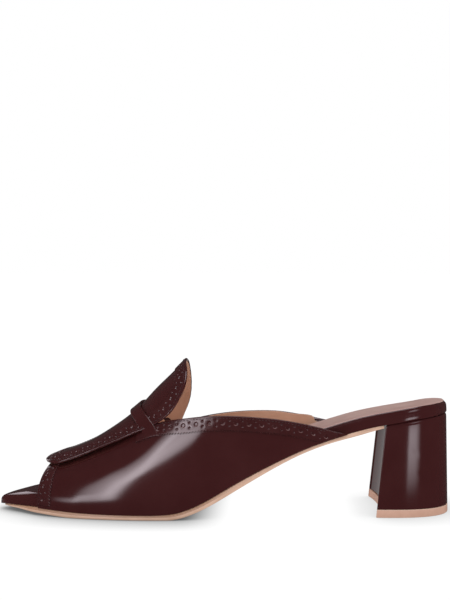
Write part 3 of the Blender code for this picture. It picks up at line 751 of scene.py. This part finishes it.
def toplineSide(rows, knots, length):
    # station of the back edge by turn on one side: under the keeper it follows the keeper, and
    # behind it a spline through the table's rows
    table = np.array(rows, float)
    sideways = np.array(knots) * length
    stations = keeperCentre(sideways, length)
    heights = upperAt(stations, crestSide(stations) + sideways)[:, 2]
    turns = np.r_[turnAtHeight(stations, heights), turnAtHeight(*table.T), 0.0]
    stations = np.r_[stations, table[:, 0], vamp["toplineEnd"]]
    return curveThrough(np.stack([turns, stations], axis=-1)[::-1])


toeEdge = curveThrough(vamp["toeOpening"])
toplineByTurn = [toplineSide(vamp["toplineInner"], keeper["innerKnots"], -keeper["innerLength"]),
                 toplineSide(vamp["toplineOuter"], keeper["outerKnots"], keeper["outerLength"])]


def backEdge(turn):
    # station of the vamp's back edge by turn, from the spline of its side
    return np.where(turn < 90, toplineByTurn[0](turn), toplineByTurn[1](180 - turn))


def vampGrid(inset):
    # from the toe opening's edge to the topline at every turn, moved in by an inset for each side
    half = 90 * np.linspace(0, 1, vamp["halfColumns"]) ** vamp["crowding"]
    turns = np.r_[half, 180 - half[-2::-1]]
    length = vamp["length"]
    share = edgeSteps(length, vamp["edgeRound"], length / vamp["rows"]) / length
    back = backEdge(turns) - np.where(turns < 90, *inset)
    front = toeEdge(turns) + inset[0]
    station = front + (back - front) * share[:, None]
    return upperTurned(station, np.broadcast_to(turns, station.shape))


def buildVamp():
    # the leather under the upper's outer face, and the lining under the leather
    grid = vampGrid((0.0, 0.0))
    addSheet("vampLeather", grid, gridNormal(grid), -vamp["leather"], 0.0, vamp["edgeRound"],
             finishes["burgundy"], ["vamp"])
    grid = vampGrid(vamp["liningInset"])
    addSheet("vampLining", grid, gridNormal(grid), -vamp["wall"], -vamp["leather"] - vamp["glue"],
             vamp["liningRound"], finishes["lining"])


buildVamp()
print("vamp made")

# punched facings: along the topline, round the toe and round the tongue

punching = {
    "pitch": 6.8,          # between the large holes
    "large": 1.15,         # radius of a large hole
    "small": 0.55,         # and of the small ones, in pairs between them
    "pairApart": 1.4,      # how far each of a pair lies from the middle line
    "depth": 0.42,
    "wall": 0.38,          # over which a hole's side falls
    "pressed": 0.07,       # how far the punch pressed its surroundings down
    "pressLarge": 1.45, "pressSmall": 1.6,   # and over how many radii
    "tooth": 1.5, "toothDepth": 1.0,
    "middle": 3.8,         # the middle line's distance from the folded edge
    "stitchLine": 1.35,    # the stitches' distance from that edge
    "stitchPitch": 1.75, "stitchLength": 1.35, "stitchRadius": 0.17,
    # each stitch's rod: place from its middle, thickness and height, as shares of length and radius
    "stitchRod": [(-1, 0.3, -1.1), (-0.82, 0.75, -0.35), (-0.4, 1, 0.25),
                  (0.4, 1, 0.25), (0.82, 0.75, -0.35), (1, 0.3, -1.1)],
    "foldRound": 0.45, "cutRound": 0.12,
    "cutWidth": 0.5,       # of the cut edge that shows the leather's inside
    "grain": 0.15,         # spacing of the grid
}


def teeth(along):
    # a saw of even teeth, from 0 at their roots to 1 at their points
    return np.abs(2 * ((along / punching["tooth"]) % 1) - 1)


def punched(along, across, firstHole, lastHole):
    # how deep the pattern goes, how far its surroundings are pressed, and where a painted highlight
    # lies on the far lip of the large holes: each a smooth fall or a bell curve over the distance to
    # the nearest hole. Large holes are on the middle line, with a pair of small ones between two of
    # them.
    pitch, wall = punching["pitch"], punching["wall"]
    large, small = punching["large"], punching["small"]
    beside = across - punching["middle"]
    count = round((lastHole - firstHole) / pitch)
    k = np.round((along - firstHole) / pitch).clip(0, count)
    fromLarge = np.hypot(along - firstHole - k * pitch, beside)
    k = np.round((along - firstHole) / pitch - 0.5).clip(0, count - 1) + 0.5
    fromSmall = np.hypot(along - firstHole - k * pitch, np.abs(beside) - punching["pairApart"])
    hole = 1 - np.minimum(stepUp(fromLarge, large - wall, large),
                          stepUp(fromSmall, small - wall, small))
    press = np.maximum(dip(fromLarge, 0, large * punching["pressLarge"]),
                       dip(fromSmall, 0, small * punching["pressSmall"]))
    # the painted highlight: a bell curve on the large holes' far side only, away from the folded
    # edge
    lipHighlight = dip(fromLarge, large - 0.4 * wall, 0.6 * wall) * stepUp(beside, 0.25, 0.8)
    return hole, press, lipHighlight


def facingSteps(width):
    # distances across a facing, from its folded edge to its cut one
    return edgeSteps(width, punching["foldRound"], punching["grain"] * 1.1)


def evenly(points):
    # parameters that cut a line of points into even steps
    along = runningLength(points)
    count = int(along[-1] / punching["grain"])
    return np.interp(np.linspace(0, along[-1], count), along, np.linspace(0, 1, len(points)))


def addFacing(name, base, normal, along, across, low, thickness, holes, replaced,
              closed=False, wearAndLipHighlight=1.0):
    # a strip whose first column is its folded edge and whose last is pinked. Its top is the full
    # grid, which falls at its edges as a quarter circle does, less the holes' depth; its underside,
    # glued down and never seen, is one row of faces.
    rows, columns = base.shape[:2]
    width = across[:, -1:]
    rise = np.minimum(edgeRound(across, punching["foldRound"]),
                      edgeRound(width - across, punching["cutRound"]))
    if not closed:
        ends = np.minimum(along, along[-1:] - along)
        rise = np.minimum(rise, edgeRound(ends, punching["cutRound"]))
    hole, press, lipHighlight = punched(along, across, *holes)
    sunk = punching["depth"] * hole + punching["pressed"] * press * (1 - hole)
    lift = low + thickness * rise - rise * sunk
    points = (base + normal * lift[..., None]).reshape(-1, 3)
    index = np.arange(rows * columns).reshape(rows, columns)
    if closed:
        index = np.concatenate([index, index[:1]])
    fold, cut = index[:, 0], index[:, -1]
    faces = gridFaces(index).tolist()
    faces += np.stack([fold[:-1], fold[1:], cut[1:], cut[:-1]], -1).tolist()
    if not closed:
        faces += [index[0].tolist(), index[-1].tolist()]
    cutRim = 1 - np.clip((width - across) / punching["cutWidth"], 0, 1)
    # the pit mark: the holes' cut walls, and the painted highlight on the large holes' far lips
    around = np.clip(4 * hole * (1 - hole), 0, 1)
    addPiece(name, points, faces, finishes["punched"], replaced,
             {"rim": cutRim.ravel(), "pit": np.maximum(0.35 * around, wearAndLipHighlight * lipHighlight).ravel()})


def addStitches(name, base, normal, lift, distances, keep=slice(None)):
    # a row of stitches on a facing, along the column of its grid that is nearest to the stitch
    # line: each a short rod of six sides that dips in at both ends
    column = int(np.argmin(np.abs(distances - punching["stitchLine"])))
    lift = np.broadcast_to(lift, base.shape[:2])[keep, column, None]
    normal = normal[keep, column]
    line = base[keep, column] + normal * lift
    along = runningLength(line)
    count = int(along[-1] // punching["stitchPitch"])
    middles = (np.arange(count) + 0.5) * along[-1] / count
    place, radius, sink = np.array(punching["stitchRod"]).T
    radius, sink = radius * punching["stitchRadius"], sink * punching["stitchRadius"]
    at = middles[:, None] + punching["stitchLength"] / 2 * place
    centre = np.stack([np.interp(at, along, line[:, i]) for i in range(3)], axis=-1)
    up = unit(np.stack([np.interp(at, along, normal[:, i]) for i in range(3)], axis=-1))
    sideways = unit(np.cross(np.gradient(centre, axis=1), up))
    angle = np.radians(60 * np.arange(6))[:, None]
    rod = sideways[:, :, None] * np.cos(angle) + up[:, :, None] * np.sin(angle)
    points = centre[:, :, None] + up[:, :, None] * sink[:, None, None] + rod * radius[:, None, None]
    index = np.arange(count * 36).reshape(count, 6, 6)
    loop = np.concatenate([index, index[:, :, :1]], axis=2)
    faces = gridFaces(loop).tolist() + index[:, 0].tolist() + index[:, -1].tolist()
    addPiece(name, points.reshape(-1, 3), faces, finishes["thread"])


toplineBand = {
    "width": 7.4, "thickness": 0.76, "sunk": -0.06,
    "overhang": 0.1,         # the folded edge stands this far above the vamp's own
    "startInner": 75.6, "startOuter": 87.2, "end": 180.5,
    "firstHoleInner": 6.6, "firstHoleOuter": 4.0, "lastHole": 5.0,   # distances from its ends
    "narrow": 0.75, "narrowTo": (80, 105),    # share of its width in front, and where it widens
    "underKeeper": 0.45,     # slope of its top edge in front of the vamp's own table
    "leastWidth": 1.2, "overBoard": (0.9, 0.3),    # where it runs out on the sole
    "teethFrom": (2.5, 5.0),   # no teeth where it is narrower than this
    "stitchEnds": (20, -40),   # rows of the grid left without stitches
}


def buildToplineBand(name, outerSide, node):
    # height falls from the topline to the band's lower edge on every cross line, and each height
    # gives the turn where the upper has it
    side = "Outer" if outerSide else "Inner"
    table, first = vamp["topline" + side], toplineBand["start" + side]
    topline, tableStart = curveThrough(table), table[0][0]

    def topAt(station):
        early = (tableStart - station).clip(0)
        return topline(np.maximum(station, tableStart)) - toplineBand["underKeeper"] * early

    def onSide(station, height):
        turn = turnAtHeight(station, height)
        return upperTurned(station, 180 - turn if outerSide else turn)

    coarse = np.linspace(first, toplineBand["end"], 400)
    stations = first + (toplineBand["end"] - first) * evenly(onSide(coarse, topAt(coarse)))
    top = topAt(stations)
    along = runningLength(onSide(stations, top))
    narrow = toplineBand["narrow"]
    widening = stepUp(stations, *toplineBand["narrowTo"])
    width = toplineBand["width"] * (narrow + (1 - narrow) * widening)
    board, (over, least) = boardUnder(stations), toplineBand["overBoard"]
    bottom = np.maximum(top - width, board + over)
    bottom = np.maximum(np.minimum(bottom, top - toplineBand["leastWidth"]), board + least)
    free = stepUp(top - bottom, *toplineBand["teethFrom"])
    bottom = bottom + punching["toothDepth"] * (0.5 - teeth(along)) * free
    top = top + toplineBand["overhang"]
    share = facingSteps(toplineBand["width"]) / toplineBand["width"]
    height = top[:, None] + (bottom - top)[:, None] * share
    station = np.broadcast_to(stations[:, None], height.shape)
    base = onSide(station, height)
    normal = gridNormal(base) if outerSide else -gridNormal(base)
    across = runningLength(base, 1)
    pitch, firstHole = punching["pitch"], toplineBand["firstHole" + side]
    room = along[-1] - toplineBand["lastHole"] - firstHole
    holes = (firstHole, firstHole + pitch * math.floor(room / pitch))
    low, thickness = toplineBand["sunk"], toplineBand["thickness"]
    addFacing(name, base, normal, along[:, None], across, low, thickness, holes, [node])
    addStitches(name + "Stitches", base, normal, low + thickness, across[len(across) // 2],
                slice(*toplineBand["stitchEnds"]))


toeBand = {
    "width": 7.2, "thickness": 0.62, "sunk": -0.06, "overhang": 0.2,
    "from": 3.0, "to": 177.0,    # turns about the crest
    "ruler": 3.5,                # its length is measured this far behind the edge
    "firstHole": 3.2, "margin": 6.0,
    "wearAndLipHighlight": 0.4,                 # how much of the painted highlight on its holes' lips shows
}


def buildToeBand():
    # stations run back from the opening's edge on every turn about the crest
    def rulerAt(turns):
        return upperTurned(toeEdge(turns) + toeBand["ruler"], turns)

    coarse = np.linspace(toeBand["from"], toeBand["to"], 600)
    turns = toeBand["from"] + (toeBand["to"] - toeBand["from"]) * evenly(rulerAt(coarse))
    along = runningLength(rulerAt(turns))
    front = toeEdge(turns) - toeBand["overhang"]
    back = front + toeBand["width"] + punching["toothDepth"] * (teeth(along) - 0.5)
    share = facingSteps(toeBand["width"]) / toeBand["width"]
    station = front[:, None] + (back - front)[:, None] * share
    base = upperTurned(station, np.broadcast_to(turns[:, None], station.shape))
    normal = -gridNormal(base)
    across = runningLength(base, 1)
    pitch, firstHole = punching["pitch"], toeBand["firstHole"]
    holes = (firstHole, firstHole + pitch * math.floor((along[-1] - toeBand["margin"]) / pitch))
    low, thickness = toeBand["sunk"], toeBand["thickness"]
    addFacing("toeFacing", base, normal, along[:, None], across, low, thickness, holes,
              ["toe_band"], wearAndLipHighlight=toeBand["wearAndLipHighlight"])
    addStitches("toeFacingStitches", base, normal, low + thickness, across[len(across) // 2])


buildToplineBand("toplineFacingInner", False, "topline_band_inner")
buildToplineBand("toplineFacingOuter", True, "topline_band_outer")
buildToeBand()
print("facings made")

# the tongue and the keeper

tongue = {
    # station of each cross line at the crest, its reach to each side, and each end's sweep back
    "outline": [
        (26, 15.2, 15.0, 2.7, 2.7), (34, 15.6, 15.3, 2.7, 2.7), (43, 16.8, 16.3, 2.8, 2.8),
        (50, 17.8, 17.3, 3.1, 3.1), (59, 20.2, 19.8, 4.3, 4.3), (68, 23.1, 25.6, 6.4, 6.7),
        (74, 25.0, 31.0, 8.0, 8.4), (77.5, 26.1, 33.2, 8.7, 9.0), (80.5, 27.0, 34.5, 9.1, 9.4),
        (84, 27.5, 33.7, 8.9, 9.2), (87.5, 27.4, 31.8, 9.2, 9.2), (91, 27.3, 30.5, 9.8, 8.8),
        (95, 27.5, 29.2, 12.4, 7.8), (101, 27.9, 27.8, 16.5, 5.6),
    ],
    "front": 26.36, "back": 101.25, "frontRound": 9.0, "backRound": 15.0,
    "lift": 2.0,                # its height over the vamp
    "lowFront": (0.3, 48, 66),    # less by this much in front, and stations between which it ends
    "lowBack": (0.4, 84, 95),     # the same behind
    # how far the keeper presses it down, how much more at its edges, where and how widely
    "press": 0.45, "edgePress": 1.15, "pressAt": 1.0, "pressWidth": 6.5,
    "edgeAt": 26.0,             # distance from the crest that counts as its edge there
    "skive": 0.5,               # share by which its edges are thinner there
    "lining": 0.6, "leather": 0.75, "facing": 0.5, "facingWidth": 7.2,
    "liningInset": 0.8, "liningRound": 0.3,
    # the lining reaches nearly to the outer edge behind the keeper, but stays well in before it:
    # share of its inset there, how much more in front, and stations between which it changes
    "outerInset": (0.35, 2.5, 76, 79),
    "glue": 0.03, "facingSunk": 0.06,
    "edgeRound": 0.35,
    "rows": 190, "columns": 96,
    "wearAndLipHighlight": 0.35,               # how much of the painted highlight on its facing's holes' lips shows
}


def tongueAt(crest, across, inset=0.0):
    # station and sideways distance on the upper for a cross line and -1 to 1 along it: ends are
    # rounded on a superellipse in front and an ellipse behind, and cross lines sweep back
    frontRound, backRound = tongue["frontRound"], tongue["backRound"]
    front = ((tongue["front"] + inset + frontRound - crest) / frontRound).clip(0, 1)
    back = ((crest - tongue["back"] + inset + backRound) / backRound).clip(0, 1)
    rounded = (1 - front**2.4) ** (1 / 2.4) * np.sqrt(1 - back**2)
    inner, outer, innerSweep, outerSweep = (
        curveThrough(tongue["outline"], column)(crest) for column in (1, 2, 3, 4))
    share, more, changes, changed = tongue["outerInset"]
    outer = outer - inset * (share + more * (1 - stepUp(crest, changes, changed)))
    sideways = np.where(across < 0, inner - inset, outer) * rounded * across
    sweep = np.where(across < 0, innerSweep, outerSweep) * (rounded * across) ** 2
    station = crest + sweep + last["forefootSkew"] * sideways
    return station, crestSide(station) + sideways


def tongueRows(count, inset, tiny):
    # stations of its cross lines, closer together at both ends, as a cosine is, and a tiny share
    # of its length away from them
    share = (1 - np.cos(np.linspace(0, math.pi, count))) / 2
    front, back = tongue["front"] + inset, tongue["back"] - inset
    return front + (back - front) * (tiny + (1 - 2 * tiny) * share)


def tongueGrid(inset):
    # its cross lines, with points closer together at the edges
    crest = tongueRows(tongue["rows"], inset, 0.0005)[:, None]
    across = edgeSteps(2.0, 0.02, 2.0 / tongue["columns"]) - 1
    return tongueAt(crest, across[None], inset)


def tongueLift(station, sideways):
    # how high the tongue's underside lies over the vamp, pressed down on a bell curve by the
    # keeper, and how much of its thickness it keeps under it
    away = sideways - crestSide(station)
    length = np.where(away < 0, keeper["innerLength"], keeper["outerLength"])
    atKeeper = dip(station - keeperCentre(away, length), tongue["pressAt"], tongue["pressWidth"])
    atEdge = np.clip(away / tongue["edgeAt"], -1, 1) ** 2
    (frontLess, *frontEnds), (backLess, *backEnds) = tongue["lowFront"], tongue["lowBack"]
    lift = tongue["lift"] - frontLess * (1 - stepUp(station, *frontEnds))
    lift = lift - backLess * stepUp(station, *backEnds)
    lift = lift - (tongue["press"] + tongue["edgePress"] * atEdge) * atKeeper
    return lift, 1 - tongue["skive"] * atEdge * atKeeper


def nearest(points, line):
    # distance from each point of a grid to the nearest point of a line, from a^2 + b^2 - 2ab
    flat = points.reshape(-1, 3)
    squares = (flat**2).sum(1)[:, None] + (line**2).sum(1)[None] - 2 * flat @ line.T
    return np.sqrt(squares.min(axis=1).clip(0)).reshape(points.shape[:2])


def tongueEdge():
    # once round the tongue's outline, in even steps
    crest = tongueRows(900, 0.0, 0.00004)
    inner = np.stack(tongueAt(crest, np.full(crest.shape, -1.0)), axis=-1)
    outer = np.stack(tongueAt(crest, np.full(crest.shape, 1.0)), axis=-1)
    loop = np.concatenate([inner, outer[::-1], inner[:1]])
    along = runningLength(upperAt(*loop.T))
    count = int(round(along[-1] / punching["grain"]))
    at = np.linspace(0, along[-1], count, endpoint=False)
    return np.stack([np.interp(at, along, loop[:, i]) for i in (0, 1)], axis=-1)


def marchIn(loop, distances):
    # carries a closed line inwards over the upper: every step moves each point square to the
    # line, and evens the line out a little so that it can't cross itself
    lines = [loop]
    for step in np.diff(distances):
        flat = lines[-1]
        points = upperAt(*flat.T)
        ahead = unit(np.roll(points, -3, axis=0) - np.roll(points, 3, axis=0))
        inwards = unit(np.cross(ahead, upperNormal(*flat.T)))
        moved = flat - inwards[:, :2] * step
        for _ in range(4):
            moved = (np.roll(moved, 1, axis=0) + 2 * moved + np.roll(moved, -1, axis=0)) / 4
        lines.append(moved)
    return np.stack(lines, axis=1)


def buildTongue():
    # lining, leather and a punched facing round the edge, each lifted off the upper on the last
    station, sideways = tongueGrid(tongue["liningInset"])
    lift, full = tongueLift(station, sideways)
    addSheet("tongueLining", upperAt(station, sideways), upperNormal(station, sideways), lift,
             lift + tongue["lining"] * full, tongue["liningRound"], finishes["lining"])
    station, sideways = tongueGrid(0.0)
    base, normal = upperAt(station, sideways), upperNormal(station, sideways)
    outline = tongueEdge()
    distance = nearest(base, upperAt(*outline.T)[::3])
    distance[[0, -1]] = distance[:, [0, -1]] = 0
    lift, full = tongueLift(station, sideways)
    under = tongue["lining"] + tongue["glue"]
    over = under + tongue["leather"]
    addSheet("tongueLeather", base, normal, lift + under * full, lift + over * full,
             tongue["edgeRound"], finishes["burgundy"], ["tongue"], distance)
    # the facing: lines carried inwards from the outline, with teeth that grow towards the last.
    # Teeth and holes are fitted to the length of the line in its middle, so both close evenly.
    distances = facingSteps(tongue["facingWidth"])
    grid = marchIn(outline, distances)
    loop = runningLength(upperAt(*np.concatenate([grid[:, 20], grid[:1, 20]]).T))
    toothed = round(loop[-1] / punching["tooth"]) * punching["tooth"]
    along = loop[:-1] / loop[-1] * toothed
    reach = punching["toothDepth"] * (teeth(along) - 0.5)[:, None] * (distances / distances[-1])
    grid = grid + np.gradient(grid, distances, axis=1) * reach[..., None]
    station, sideways = grid[..., 0], grid[..., 1]
    base, normal = upperAt(station, sideways), upperNormal(station, sideways)
    pitch = punching["pitch"]
    count = round(along[-1] / pitch)
    lift, full = tongueLift(station, sideways)
    low = lift + over * full - tongue["facingSunk"]
    thickness = tongue["facing"] * full + tongue["facingSunk"]
    addFacing("tongueFacing", base, normal, (along / toothed * count * pitch)[:, None],
              distances + reach, low, thickness, (0.5 * pitch, (count - 0.5) * pitch), (),
              closed=True, wearAndLipHighlight=tongue["wearAndLipHighlight"])
    addStitches("tongueFacingStitches", base, normal, low + thickness, distances)


def buildKeeper():
    # a folded strap: over the crest it clears the tongue, then it falls with the tongue's thinner
    # edges, and its ends, skived thin, lie on the facings
    across = edgeSteps(2.0, 0.018, 2.0 / 130) - 1
    share = edgeSteps(1.0, 0.08, 1.0 / 22)[:, None] - 0.5
    longer, middleWidth, endWidth = keeper["flare"]
    length = np.where(across < 0, keeper["innerLength"], keeper["outerLength"]) + longer * share
    sideways = length * across
    width = keeper["width"] * (middleWidth + endWidth * across**2)
    station = keeperCentre(sideways, length) + width * share
    sideways = crestSide(station) + sideways
    away = np.abs(across)
    crown = keeper["crown"] - 0.5 * share * (1 - across**2)
    fall = np.where(across < 0, stepUp(away, *keeper["fallInner"]),
                    stepUp(away, *keeper["fallOuter"]))
    lift = crown + (keeper["foot"] - crown) * fall
    skived = stepUp(away, *keeper["skived"])
    thickness = keeper["thickness"] + (keeper["endThickness"] - keeper["thickness"]) * skived
    addSheet("keeperStrap", upperAt(station, sideways), upperNormal(station, sideways), lift,
             lift + thickness, keeper["edgeRound"], finishes["burgundy"],
             ["keeper"])


buildTongue()
buildKeeper()
print("tongue and keeper made")

# floor, light and camera

studio = {
    "world": {
        "light": 1.0, "mirrored": 0.05,
        "tableGlow": 0.36,       # a paler table that the leather mirrors
        "below": 12.0,           # how fast it brightens below the horizon
        "behind": 2.0,           # how fast behind the shoe
        "leftOf": 0.3, "leftwards": 4.0,   # and how fast towards the toe, from this direction
    },
    "floor": {
        "size": 60.0, "glow": 1.03, "shadow": 0.9, "reach": 0.026, "depth": 1.5,
        "underForefoot": (-0.022, 0.006), "atHeel": (0.058, 0.074),   # where along x it is shaded
    },
    # Panels hang on upright planes that face the shoe: azimuth and distance of the plane's foot
    # from its target, then the panel's left, right, lower and upper edge on it, and radiance. The
    # last two are optional: how bright it is at shares of its width and of its height. Where
    # panels overlap, a reflected ray meets only one of those that share a plane, so each has its
    # own distance.
    "panels": [
        ("softbox", (0, 0), -25, 0.50, -0.135, 0.045, 0.010, 0.400, 9.4,
         [(0, 0), (0.05, 0.06), (0.13, 0.2), (0.24, 0.34), (0.34, 0.42), (0.45, 0.5),
          (0.58, 0.68), (0.68, 1), (0.82, 1), (0.9, 0.5), (0.96, 0.15), (1, 0)],
         [(0, 0), (0.03, 0.1), (0.08, 0.62), (0.16, 0.85), (0.25, 1), (0.7, 1), (0.85, 0.8),
          (1, 0.3)]),
        ("softboxWing", (0, 0), -25, 0.506, 0.010, 0.190, 0.175, 0.345, 9.2,
         [(0, 0), (0.09, 0.48), (0.155, 0.83), (0.22, 0.95), (0.33, 0.84), (0.5, 0.76),
          (0.78, 0.7), (1, 0.45)],
         [(0, 0), (0.15, 0.85), (0.4, 1), (0.65, 0.7), (0.85, 0.35), (1, 0)]),
        ("softboxLow", (0, 0), -25, 0.512, -0.135, 0.0, 0.012, 0.120, 4.0,
         [(0, 0), (0.11, 0.6), (0.185, 0.95), (0.333, 0.8), (0.48, 0.6), (0.63, 0.42),
          (0.78, 0.22), (1, 0)],
         [(0, 0), (0.12, 0.7), (0.3, 1), (0.72, 1), (0.86, 0.5), (1, 0)]),
        ("softboxTail", (0, 0), -25, 0.518, -0.240, -0.100, 0.004, 0.085, 4.4,
         [(0, 0), (0.214, 0.26), (0.357, 0.43), (0.5, 0.64), (0.643, 0.75), (0.786, 0.95),
          (0.893, 0.7), (1, 0)],
         [(0, 0), (0.12, 0.8), (0.4, 1), (0.75, 0.5), (1, 0)]),
        ("heelCard", (0.100, -0.026), 30, 0.16, -0.029, 0.028, -0.012, 0.036, 5.4,
         [(0, 0), (0.1, 1), (0.6, 0.9), (1, 0.1)],
         [(0, 0), (0.2, 0.4), (0.45, 0.75), (0.9, 1), (1, 0.6)]),
        ("seatCard", (0.100, -0.026), 30, 0.165, -0.032, 0.026, 0.080, 0.125, 3.2,
         [(0, 0), (0.2, 1), (0.6, 0.9), (1, 0)], [(0, 0.3), (0.3, 1), (0.7, 1), (1, 0.3)]),
        ("toeCard", (-0.105, -0.02), -153, 0.045, -0.006, 0.015, 0.024, 0.056, 2.0),
    ],
    # middle, width, depth and radiance of the one that hangs above
    "overhead": ((0.0, -0.08, 0.70), 0.60, 0.42, 4.5),
    "tint": (1.0, 0.91, 0.97),
}


def buildFloor():
    # a sheet that glows evenly rather than being lit, with a painted shadow close under the shoe:
    # glow x (1 - shadow x zones x (1 - openness ^ depth)), where the zones are the forefoot and the
    # heel along x
    look = studio["floor"]
    half = look["size"] / 2
    mesh = bpy.data.meshes.new("floor")
    corners = [(-half, -half, 0), (half, -half, 0), (half, half, 0), (-half, half, 0)]
    mesh.from_pydata(corners, [], [(0, 1, 2, 3)])
    material = bpy.data.materials.new("paperFloor")
    material.use_nodes = True
    tree = material.node_tree
    place = addNode(tree, "SeparateXYZ", {0: addNode(tree, "TexCoord").outputs["Object"]})
    zones = [mapRange(tree, place.outputs["X"], *look[zone], ends, interpolation_type="SMOOTHSTEP")
             for zone, ends in (("underForefoot", (1, 0)), ("atHeel", (0, 0.5)))]
    openness = addNode(tree, "AmbientOcclusion", {"Distance": look["reach"]}).outputs["AO"]
    openness = mathNode(tree, "POWER", openness, look["depth"])
    closed = mathNode(tree, "SUBTRACT", 1.0, openness)
    shade = mathNode(tree, "MULTIPLY", closed, mathNode(tree, "ADD", *zones))
    shade = mathNode(tree, "MULTIPLY", shade, look["shadow"])
    glow = mathNode(tree, "MULTIPLY", mathNode(tree, "SUBTRACT", 1.0, shade), look["glow"])
    feed(tree, tree.nodes["Principled BSDF"], {
        "Base Color": (0, 0, 0, 1), "Roughness": 0.9, "Specular IOR Level": 0,
        "Emission Color": (1, 1, 1, 1), "Emission Strength": glow,
    })
    mesh.materials.append(material)
    floor = bpy.data.objects.new("floor", mesh)
    bpy.context.collection.objects.link(floor)
    floor.visible_glossy = False


def buildWorld():
    # white all round, but nearly dark in the leather's reflections, with a paler table behind
    look = studio["world"]
    world = bpy.data.worlds.new("studio")
    world.use_nodes = True
    tree = world.node_tree
    generated = addNode(tree, "TexCoord").outputs["Generated"]
    direction = addNode(tree, "SeparateXYZ", {0: generated}).outputs
    down = mathNode(tree, "MULTIPLY", direction["Z"], -look["below"], clamp=True)
    behind = mathNode(tree, "MULTIPLY", direction["Y"], look["behind"], clamp=True)
    leftwards = mathNode(tree, "SUBTRACT", look["leftOf"], direction["X"])
    leftwards = mathNode(tree, "MULTIPLY", leftwards, look["leftwards"], clamp=True)
    table = mathNode(tree, "MULTIPLY", mathNode(tree, "MULTIPLY", down, behind), look["tableGlow"])
    table = mathNode(tree, "MULTIPLY", table, leftwards)
    glossy = addNode(tree, "LightPath").outputs["Is Glossy Ray"]
    mirrored = mathNode(tree, "MULTIPLY", mathNode(tree, "ADD", table, look["mirrored"]), glossy)
    direct = mathNode(tree, "SUBTRACT", 1.0, glossy)
    direct = mathNode(tree, "MULTIPLY", direct, look["light"])
    feed(tree, tree.nodes["Background"], {
        "Color": (1, 1, 1, 1), "Strength": mathNode(tree, "ADD", direct, mirrored),
    })
    bpy.context.scene.world = world


def addPanel(name, middle, turn, width, height, radiance, across=None, up=None):
    # a panel that shows in the leather's gloss only; the white room gives the rest of the light
    light = bpy.data.lights.new(name, "AREA")
    light.shape = "RECTANGLE"
    light.size, light.size_y = width, height
    light.energy = radiance * width * height * math.pi
    light.color = studio["tint"]
    if across:
        light.use_nodes = True
        tree = light.node_tree
        surface = addNode(tree, "NewGeometry").outputs["Parametric"]
        place = addNode(tree, "SeparateXYZ", {0: surface})
        shares = []
        for axis, stops in (("X", across), ("Y", up)):
            ramp = addNode(tree, "ValToRGB", {"Fac": place.outputs[axis]})
            elements = ramp.color_ramp.elements
            for position, level in stops[1:-1]:
                elements.new(position).color = (level, level, level, 1)
            for end in (0, -1):
                level = stops[end][1]
                elements[end].color = (level, level, level, 1)
            shares.append(ramp.outputs["Color"])
        feed(tree, tree.nodes["Emission"], {"Strength": mathNode(tree, "MULTIPLY", *shares)})
    panel = bpy.data.objects.new(name, light)
    panel.location, panel.rotation_euler = middle, turn
    panel.visible_camera = panel.visible_diffuse = False
    bpy.context.collection.objects.link(panel)


def buildPanels():
    # each panel's middle: from the target out by its distance, then across and up on its plane
    for name, target, azimuth, away, left, right, bottom, top, radiance, *levels in studio["panels"]:
        a = math.radians(azimuth)
        across = (left + right) / 2
        middle = (target[0] + math.sin(a) * away + math.cos(a) * across,
                  target[1] - math.cos(a) * away + math.sin(a) * across, (bottom + top) / 2)
        addPanel(name, middle, (math.pi / 2, 0, a), right - left, top - bottom, radiance, *levels)
    middle, width, depth, radiance = studio["overhead"]
    addPanel("overhead", middle, (0, 0, 0), width, depth, radiance)


camera = {
    "place": (0.03245, -0.59819, 0.130),
    "turn": 3.1,             # degrees it looks towards the toe
    "lens": 65.7, "sensor": 36.0,
    "shift": -0.0542,        # it looks level and frames the shoe below the middle
    "clip": (0.01, 20),
}


def buildCamera():
    # level, turned a little towards the toe
    data = bpy.data.cameras.new("camera")
    data.lens, data.sensor_width, data.shift_y = camera["lens"], camera["sensor"], camera["shift"]
    data.clip_start, data.clip_end = camera["clip"]
    viewer = bpy.data.objects.new("camera", data)
    viewer.location = camera["place"]
    viewer.rotation_euler = (math.pi / 2, 0, math.radians(camera["turn"]))
    bpy.context.collection.objects.link(viewer)
    bpy.context.scene.camera = viewer


buildFloor()
buildWorld()
buildPanels()
buildCamera()
bpy.context.scene.view_settings.view_transform = "Standard"
print("floor, light and camera made")
